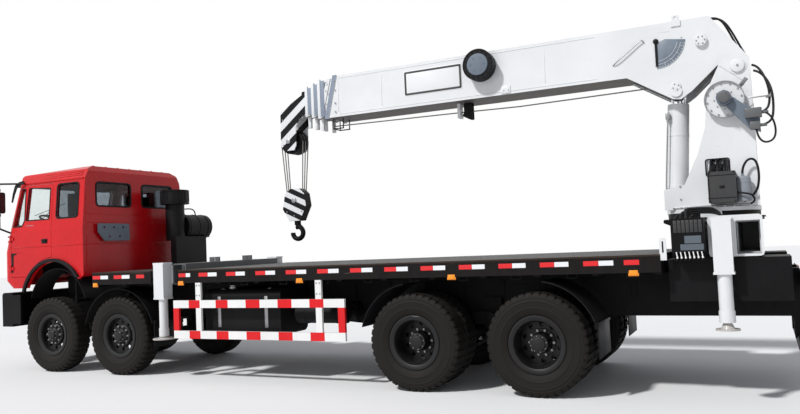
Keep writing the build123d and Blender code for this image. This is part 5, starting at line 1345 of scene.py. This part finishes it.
# %% The column's opening, with its frame, fittings and hoses
OPENING_HOSES = [9.208 + 0.034 * k for k in range(4)]
opening = bmesh.new()
rim_frame(opening, [(9.142, -0.3195, 2.242), (9.388, -0.3195, 2.242), (9.388, -0.3195, 2.433),
                    (9.142, -0.3195, 2.433)],
          0.028, 0.013, (0, -0.006, 0), 5)
block(opening, (9.200, 9.245), (-0.30, -0.255), (2.262, 2.36), 0.006)
block(opening, (9.262, 9.300), (-0.30, -0.255), (2.262, 2.33), 0.006)
for x in OPENING_HOSES:
    rod(opening, (x, -0.285, 2.33), (x, -0.285, 2.375), 0.011, sides=6)
piece("opening_frame", opening, FRAME_BLACK, "crane_column")
for k, x in enumerate(OPENING_HOSES):
    route = [(x, -0.285, 2.37), (x, -0.285, 2.40), (x + 0.01, -0.25, 2.43), (x + 0.02, -0.17, 2.44),
             (x + 0.02, -0.10, 2.40), (x + 0.02, -0.08, 2.30)]
    pipe(f"opening_hose_{k + 1}", route, 0.0085, BOLT_STEEL if k % 2 else HOSE_BLACK, "crane_column")
print("opening done")

# %% Slewing ring: edge strips, bolts and its lower flange
edge = bmesh.new()
for side in (-1, 1):
    y = side * 0.3205
    for z in (2.02, 2.16):
        studs(edge, [(8.88, y, z)], (0, side, 0), 0.011, 0.009)
    block(edge, (8.80, 9.55), proud(y, side, 0.002, 0.005), (1.912, 1.940), 0.003)
studs(edge, ring_places((9.175, 0.0, 1.9105), 0.452, 30, "Z"), (0, 0, 1), 0.015, 0.016)
for i in range(9):
    for side in (-1, 1):
        studs(edge, [(8.80 + 0.075 * i, side * 0.3255, 1.926)], (0, side, 0), 0.009, 0.010)
piece("ring_bolts", edge, BOLT_STEEL, "crane_column")
lower = bmesh.new()
studs(lower, ring_places((9.175, 0.0, 1.798), 0.505, 30, "Z"), (0, 0, 1), 0.013, 0.014)
turned(lower, [(0.0, 0.52), (0.012, 0.52), (0.012, 0.475), (0.0, 0.475)], (9.175, 0.0, 1.795), (0, 0, 1), 64)
piece("ring_flange", lower, FRAME_BLACK, "chassis")
print("slewing ring done")

# %% Box and tank on the column
box = bmesh.new()
for z in (2.00, 2.235):
    block(box, (9.165, 9.445), (-0.5535, -0.5495), (z - 0.004, z + 0.004), 0.0015, 1)
block(box, (9.175, 9.185), (-0.5545, -0.5495), (1.96, 2.265), 0.002)
block(box, (9.28, 9.33), (-0.557, -0.5495), (2.10, 2.13), 0.004)
for x in (9.19, 9.42):
    studs(box, [(x, -0.5505, z) for z in (1.965, 2.26)], (0, -1, 0), 0.007, 0.006)
block(box, (9.18, 9.20), (-0.56, -0.54), (2.274, 2.286), 0.004)
piece("column_box_trim", box, BLACK_PLASTIC, "crane_column")
bands = bmesh.new()
for z in (2.00, 2.16):
    hoop(bands, (9.50, -0.395, z), (0, 0, 1), 0.010, 0.0735, 0.008, 0.079, 36)
turned(bands, [(0.0, 0.072), (0.014, 0.064), (0.022, 0.040), (0.024, 0.0)], (9.50, -0.395, 2.199), (0, 0, 1), 36)
rod(bands, (9.50, -0.395, 2.22), (9.50, -0.395, 2.245), 0.018, sides=6)
piece("column_tank_bands", bands, STEEL_GREY, "crane_column")
print("box and tank done")

# %% Hoses of the column and the boom
HOSES = [
    # name, radius, body, route
    ("box_hose_1", 0.012, "crane_column",
     [(9.50, -0.395, 2.24), (9.50, -0.40, 2.30), (9.56, -0.40, 2.40), (9.64, -0.40, 2.38), (9.66, -0.40, 2.20),
      (9.62, -0.37, 2.02), (9.50, -0.335, 1.96)]),
    ("box_hose_2", 0.010, "crane_column",
     [(9.445, -0.50, 2.05), (9.50, -0.51, 2.04), (9.585, -0.50, 2.02), (9.61, -0.45, 1.95), (9.56, -0.40, 1.93)]),
    ("boom_hose_1", 0.012, "crane_column",
     [(9.70, -0.47, 2.85), (9.77, -0.47, 2.87), (9.80, -0.45, 2.96), (9.80, -0.43, 3.10), (9.76, -0.40, 3.25),
      (9.70, -0.35, 3.36), (9.66, -0.31, 3.38)]),
    ("boom_hose_2", 0.012, "crane_column",
     [(9.72, -0.49, 2.72), (9.80, -0.48, 2.74), (9.83, -0.45, 2.86), (9.83, -0.42, 3.06), (9.79, -0.37, 3.20),
      (9.72, -0.33, 3.30), (9.67, -0.31, 3.32)]),
    ("boom_hose_3", 0.010, "crane_column",
     [(9.66, -0.49, 2.70), (9.66, -0.50, 2.62), (9.72, -0.50, 2.53), (9.82, -0.49, 2.56), (9.84, -0.49, 2.68),
      (9.80, -0.49, 2.82), (9.74, -0.49, 2.85)]),
    ("boom_top_hose_1", 0.011, "boom",
     [(9.25, -0.16, 3.975), (9.32, -0.16, 3.985), (9.40, -0.16, 3.93), (9.46, -0.15, 3.80), (9.52, -0.12, 3.66),
      (9.58, -0.06, 3.52), (9.60, -0.02, 3.44)]),
    ("boom_top_hose_2", 0.011, "boom",
     [(9.25, -0.11, 3.975), (9.34, -0.11, 3.99), (9.43, -0.11, 3.92), (9.50, -0.10, 3.78), (9.56, -0.07, 3.64),
      (9.62, -0.02, 3.52), (9.62, 0.02, 3.44)]),
]
for name, radius, body, route in HOSES:
    pipe(name, route, radius, HOSE_BLACK, body)
clamps = bmesh.new()
block(clamps, (9.765, 9.815), (-0.475, -0.400), (3.00, 3.03), 0.005)
block(clamps, (9.60, 9.80), (-0.465, -0.455), (3.008, 3.022), 0.003)
studs(clamps, [(9.79, -0.475, 3.015)], (0, -1, 0), 0.007, 0.006)
piece("hose_clamps", clamps, BOLT_STEEL, "crane_column")
print("hoses done")

# %% [markdown]
# ## Lift cylinder and controls
# The cylinder gets two bands and a thin pipe along its barrel. The valve bank at the truck's side gets blank
# plates, knobs on its levers and the hoses that go into the crane's base.

# %% Lift cylinder: bands, pipe and fittings
base, tip = Vector((8.82, 0.0, 2.06)), Vector((8.895, 0.0, 3.21))
way = (tip - base).normalized()
gland = bmesh.new()
length = (tip - base).length


def on_cylinder(part):
    spot = base + way * (length * part)
    return (spot.x, 0.0, spot.z)


hoop(gland, on_cylinder(0.10), tuple(way), 0.020, 0.113, 0.018, 0.121, 56)
hoop(gland, on_cylinder(0.60), tuple(way), 0.014, 0.113, 0.012, 0.118, 56)
piece("cylinder_bands", gland, CRANE_WHITE, "lift_cylinder")
fitting = bmesh.new()
block(fitting, (8.755, 8.80), (-0.150, -0.10), (2.93, 3.01), 0.006)
rod(fitting, (8.778, -0.135, 2.94), (8.776, -0.135, 2.90), 0.014, sides=6)
rod(fitting, (8.718, -0.135, 2.12), (8.716, -0.135, 2.08), 0.014, sides=6)
piece("cylinder_fitting", fitting, BOLT_STEEL, "lift_cylinder")
pipe("cylinder_pipe", [(8.777, -0.135, 2.92), (8.772, -0.135, 2.85), (8.735, -0.132, 2.40), (8.718, -0.135, 2.16),
                       (8.716, -0.135, 2.10)],
     0.008, BOLT_STEEL, "lift_cylinder")
print("cylinder done")

# %% Controls: blank plates, knobs and hoses into the crane
LEVERS = [8.89 + 0.038 * i for i in range(7)]
controls = bmesh.new()
block(controls, (8.97, 9.12), (-1.2325, -1.2295), (1.555, 1.628), 0.001, 1)
block(controls, (8.93, 9.14), (-1.2325, -1.2295), (1.490, 1.548), 0.001, 1)
piece("valve_plates", controls, BLANK_PLATE, "chassis")
valves = bmesh.new()
for x in LEVERS:
    block(valves, (x - 0.016, x + 0.016), (-1.236, -1.228), (1.66, 1.78), 0.003)
    studs(valves, [(x, -1.236, 1.69), (x, -1.236, 1.75)], (0, -1, 0), 0.006, 0.006)
    rod(valves, (x, -0.955, 1.60), (x, -0.91, 1.60), 0.013, sides=6)
piece("valve_fittings", valves, BOX_DARK, "chassis")
for i in range(4):
    x = 8.90 + 0.055 * i
    route = [(x, -0.92, 1.60), (x, -0.80, 1.61 + 0.02 * i), (x + 0.05, -0.66, 1.70),
             (x + 0.08, -0.56, 1.82 - 0.03 * i), (x + 0.10, -0.50, 1.84 - 0.03 * i)]
    pipe(f"valve_hose_{i + 1}", route, 0.0115, HOSE_BLACK, "chassis")
post = bmesh.new()
plate(post, [(8.735, -1.236, 1.40), (8.800, -1.236, 1.40), (8.800, -1.236, 1.60), (8.785, -1.236, 1.618),
             (8.750, -1.236, 1.618),
             (8.735, -1.236, 1.60)], (0, 0.012, 0), 0.0, 4, 0.002)
block(post, (8.745, 8.790), (-1.226, -1.19), (1.461, 1.475), 0.002)
piece("lashing_post", post, CRANE_WHITE, "chassis")
knobs = bmesh.new()
for x in LEVERS:
    rod(knobs, (x, -1.236, 1.475), (x + 0.008, -1.246, 1.430), 0.0055, sides=10)
    rod(knobs, (x + 0.008, -1.246, 1.430), (x + 0.010, -1.248, 1.412), 0.009, sides=12, rounding=0.003)
piece("lever_knobs", knobs, GUARD_WHITE, "chassis")
groove = bmesh.new()
block(groove, (8.760, 8.775), (-1.2375, -1.2345), (1.475, 1.585), 0.001, 1)
piece("lashing_post_slot", groove, RUBBER_SEAL, "chassis")
for i, lift in enumerate((0.0, 0.022, 0.044)):
    route = [(8.87 + 0.05 * i, -1.02, 1.79), (8.88 + 0.05 * i, -0.98, 1.83 + lift), (8.96, -0.90, 1.850 + lift),
             (9.10, -0.78, 1.858 + lift), (9.24, -0.66, 1.850 + lift), (9.28, -0.56, 1.82)]
    pipe(f"base_hose_{i + 1}", route, 0.0125, HOSE_BLACK, "chassis")
print("controls done")

# %% [markdown]
# ## Head and hook block
# The head's cheek plates and the hook block show the ends of their sheave pins and a few bolts. A nut closes the
# hook's shank. The bolts ride on the head and on the block, and the nut on the hook's swivel.

# %% Bolts of the head and the hook block, and the hook's nut
head = bmesh.new()
for side in (-1, 1):
    y = side * 0.1605
    turned(head, [(0.0, 0.0), (0.0, 0.036), (0.010, 0.034), (0.016, 0.018), (0.016, 0.0)], (3.72, y, 3.19),
           (0, side, 0), 28)
    studs(head, [(3.64, y, 3.50), (3.98, y, 3.50), (3.64, y, 3.14)], (0, side, 0), 0.011, 0.009)
piece("head_bolts", head, BOLT_STEEL, "section_5")
bits = bmesh.new()
for side in (-1, 1):
    y = side * 0.0755
    turned(bits, [(0.0, 0.0), (0.0, 0.040), (0.010, 0.037), (0.016, 0.020), (0.016, 0.0)], (3.72, y, 2.36),
           (0, side, 0), 28)
    studs(bits, [(3.60, y, 2.20), (3.84, y, 2.20), (3.72, y, 2.14)], (0, side, 0), 0.010, 0.009)
piece("block_bolts", bits, BOLT_STEEL, "block")
nut = bmesh.new()
rod(nut, (3.72, 0.0, 2.075), (3.72, 0.0, 2.04), 0.034, sides=6, rounding=0.003)
piece("hook_nut", nut, BOLT_STEEL, "hook_swivel")
print("head done")

# %% [markdown]
# ## Camera, floor and light
# The camera stands low at the truck's rear left corner, tilted a little, as the photographer held it. The floor
# is a plain pale sheet. A high sun and one soft lamp, both on the near side, light the truck.


# %% Camera
PHOTO_WIDTH = 800
FOCAL_PIXELS = 743.26
CAMERA_TURN = (25.903, 2.934, -2.530)  # yaw, pitch and roll in degrees
CAMERA_PLACE = (9.654, -8.871, 1.661)


def make_camera():
    data = bpy.data.cameras.new("camera")
    data.sensor_width = 36.0
    data.lens = FOCAL_PIXELS / PHOTO_WIDTH * data.sensor_width
    data.clip_end = 400
    yaw, pitch, roll = (math.radians(v) for v in CAMERA_TURN)
    ahead = Vector((-math.sin(yaw) * math.cos(pitch), math.cos(yaw) * math.cos(pitch), math.sin(pitch)))
    right = ahead.cross(Vector((0, 0, 1))).normalized()
    up = right.cross(ahead)
    across = math.cos(roll) * right + math.sin(roll) * up
    above = -math.sin(roll) * right + math.cos(roll) * up
    camera = bpy.data.objects.new("camera", data)
    turn = Matrix((across, above, -ahead)).transposed().to_4x4()
    camera.matrix_world = Matrix.Translation(at(*CAMERA_PLACE)) @ turn
    bpy.context.scene.collection.objects.link(camera)
    bpy.context.scene.camera = camera
    print("camera at", [round(v, 3) for v in camera.matrix_world.translation])


make_camera()


# %% Floor
def make_floor():
    shape = bmesh.new()
    bmesh.ops.create_grid(shape, x_segments=2, y_segments=2, size=70.0)
    mesh = bpy.data.meshes.new("floor")
    shape.to_mesh(mesh)
    shape.free()
    floor = bpy.data.objects.new("floor", mesh)
    bpy.context.scene.collection.objects.link(floor)
    material = bpy.data.materials.new("pale_floor")
    material.use_nodes = True
    tree = material.node_tree
    shader = tree.nodes["Principled BSDF"]
    shader.inputs["Roughness"].default_value = 0.9
    place = tree.nodes.new("ShaderNodeTexCoord").outputs["Object"]
    tree.links.new(mix_colours(tree, noise(tree, 0.3, 3.0, 0.5, place), (0.80, 0.80, 0.80), (0.84, 0.84, 0.84)),
                   shader.inputs["Base Color"])
    mesh.materials.append(material)


make_floor()


# %% Lights and sky
def area_light(name, place, target, size, power):
    data = bpy.data.lights.new(name, "AREA")
    data.shape = "DISK"
    data.size = size
    data.energy = power
    lamp = bpy.data.objects.new(name, data)
    lamp.location = place
    lamp.rotation_euler = (target - place).to_track_quat("-Z", "Y").to_euler()
    bpy.context.scene.collection.objects.link(lamp)


def sun_light(name, direction, strength, angle):
    data = bpy.data.lights.new(name, "SUN")
    data.energy = strength
    data.angle = math.radians(angle)
    lamp = bpy.data.objects.new(name, data)
    lamp.rotation_euler = direction.to_track_quat("-Z", "Y").to_euler()
    bpy.context.scene.collection.objects.link(lamp)


sun_light("key_sun", Vector((0.42, 0.78, -0.90)), 3.0, 5)
area_light("side_fill", at(-2, -16, 6), at(4, 0, 1.5), 8.0, 140)
world = bpy.data.worlds.new("pale_sky")
bpy.context.scene.world = world
world.use_nodes = True
tree = world.node_tree
background = tree.nodes["Background"]
background.inputs["Color"].default_value = (0.9, 0.93, 1.0, 1.0)
background.inputs["Strength"].default_value = 0.38
white = tree.nodes.new("ShaderNodeBackground")
white.inputs["Color"].default_value = (1.0, 1.0, 1.0, 1.0)
white.inputs["Strength"].default_value = 1.0
path = tree.nodes.new("ShaderNodeLightPath")
seen = maths(tree, "MAXIMUM", path.outputs["Is Camera Ray"], path.outputs["Is Transmission Ray"])
seen = maths(tree, "MAXIMUM", seen, path.outputs["Is Glossy Ray"])
mix = tree.nodes.new("ShaderNodeMixShader")
tree.links.new(seen, mix.inputs[0])
tree.links.new(background.outputs[0], mix.inputs[1])
tree.links.new(white.outputs[0], mix.inputs[2])
tree.links.new(mix.outputs[0], tree.nodes["World Output"].inputs["Surface"])
bpy.context.scene.view_settings.view_transform = "Standard"
print("lights and sky done")
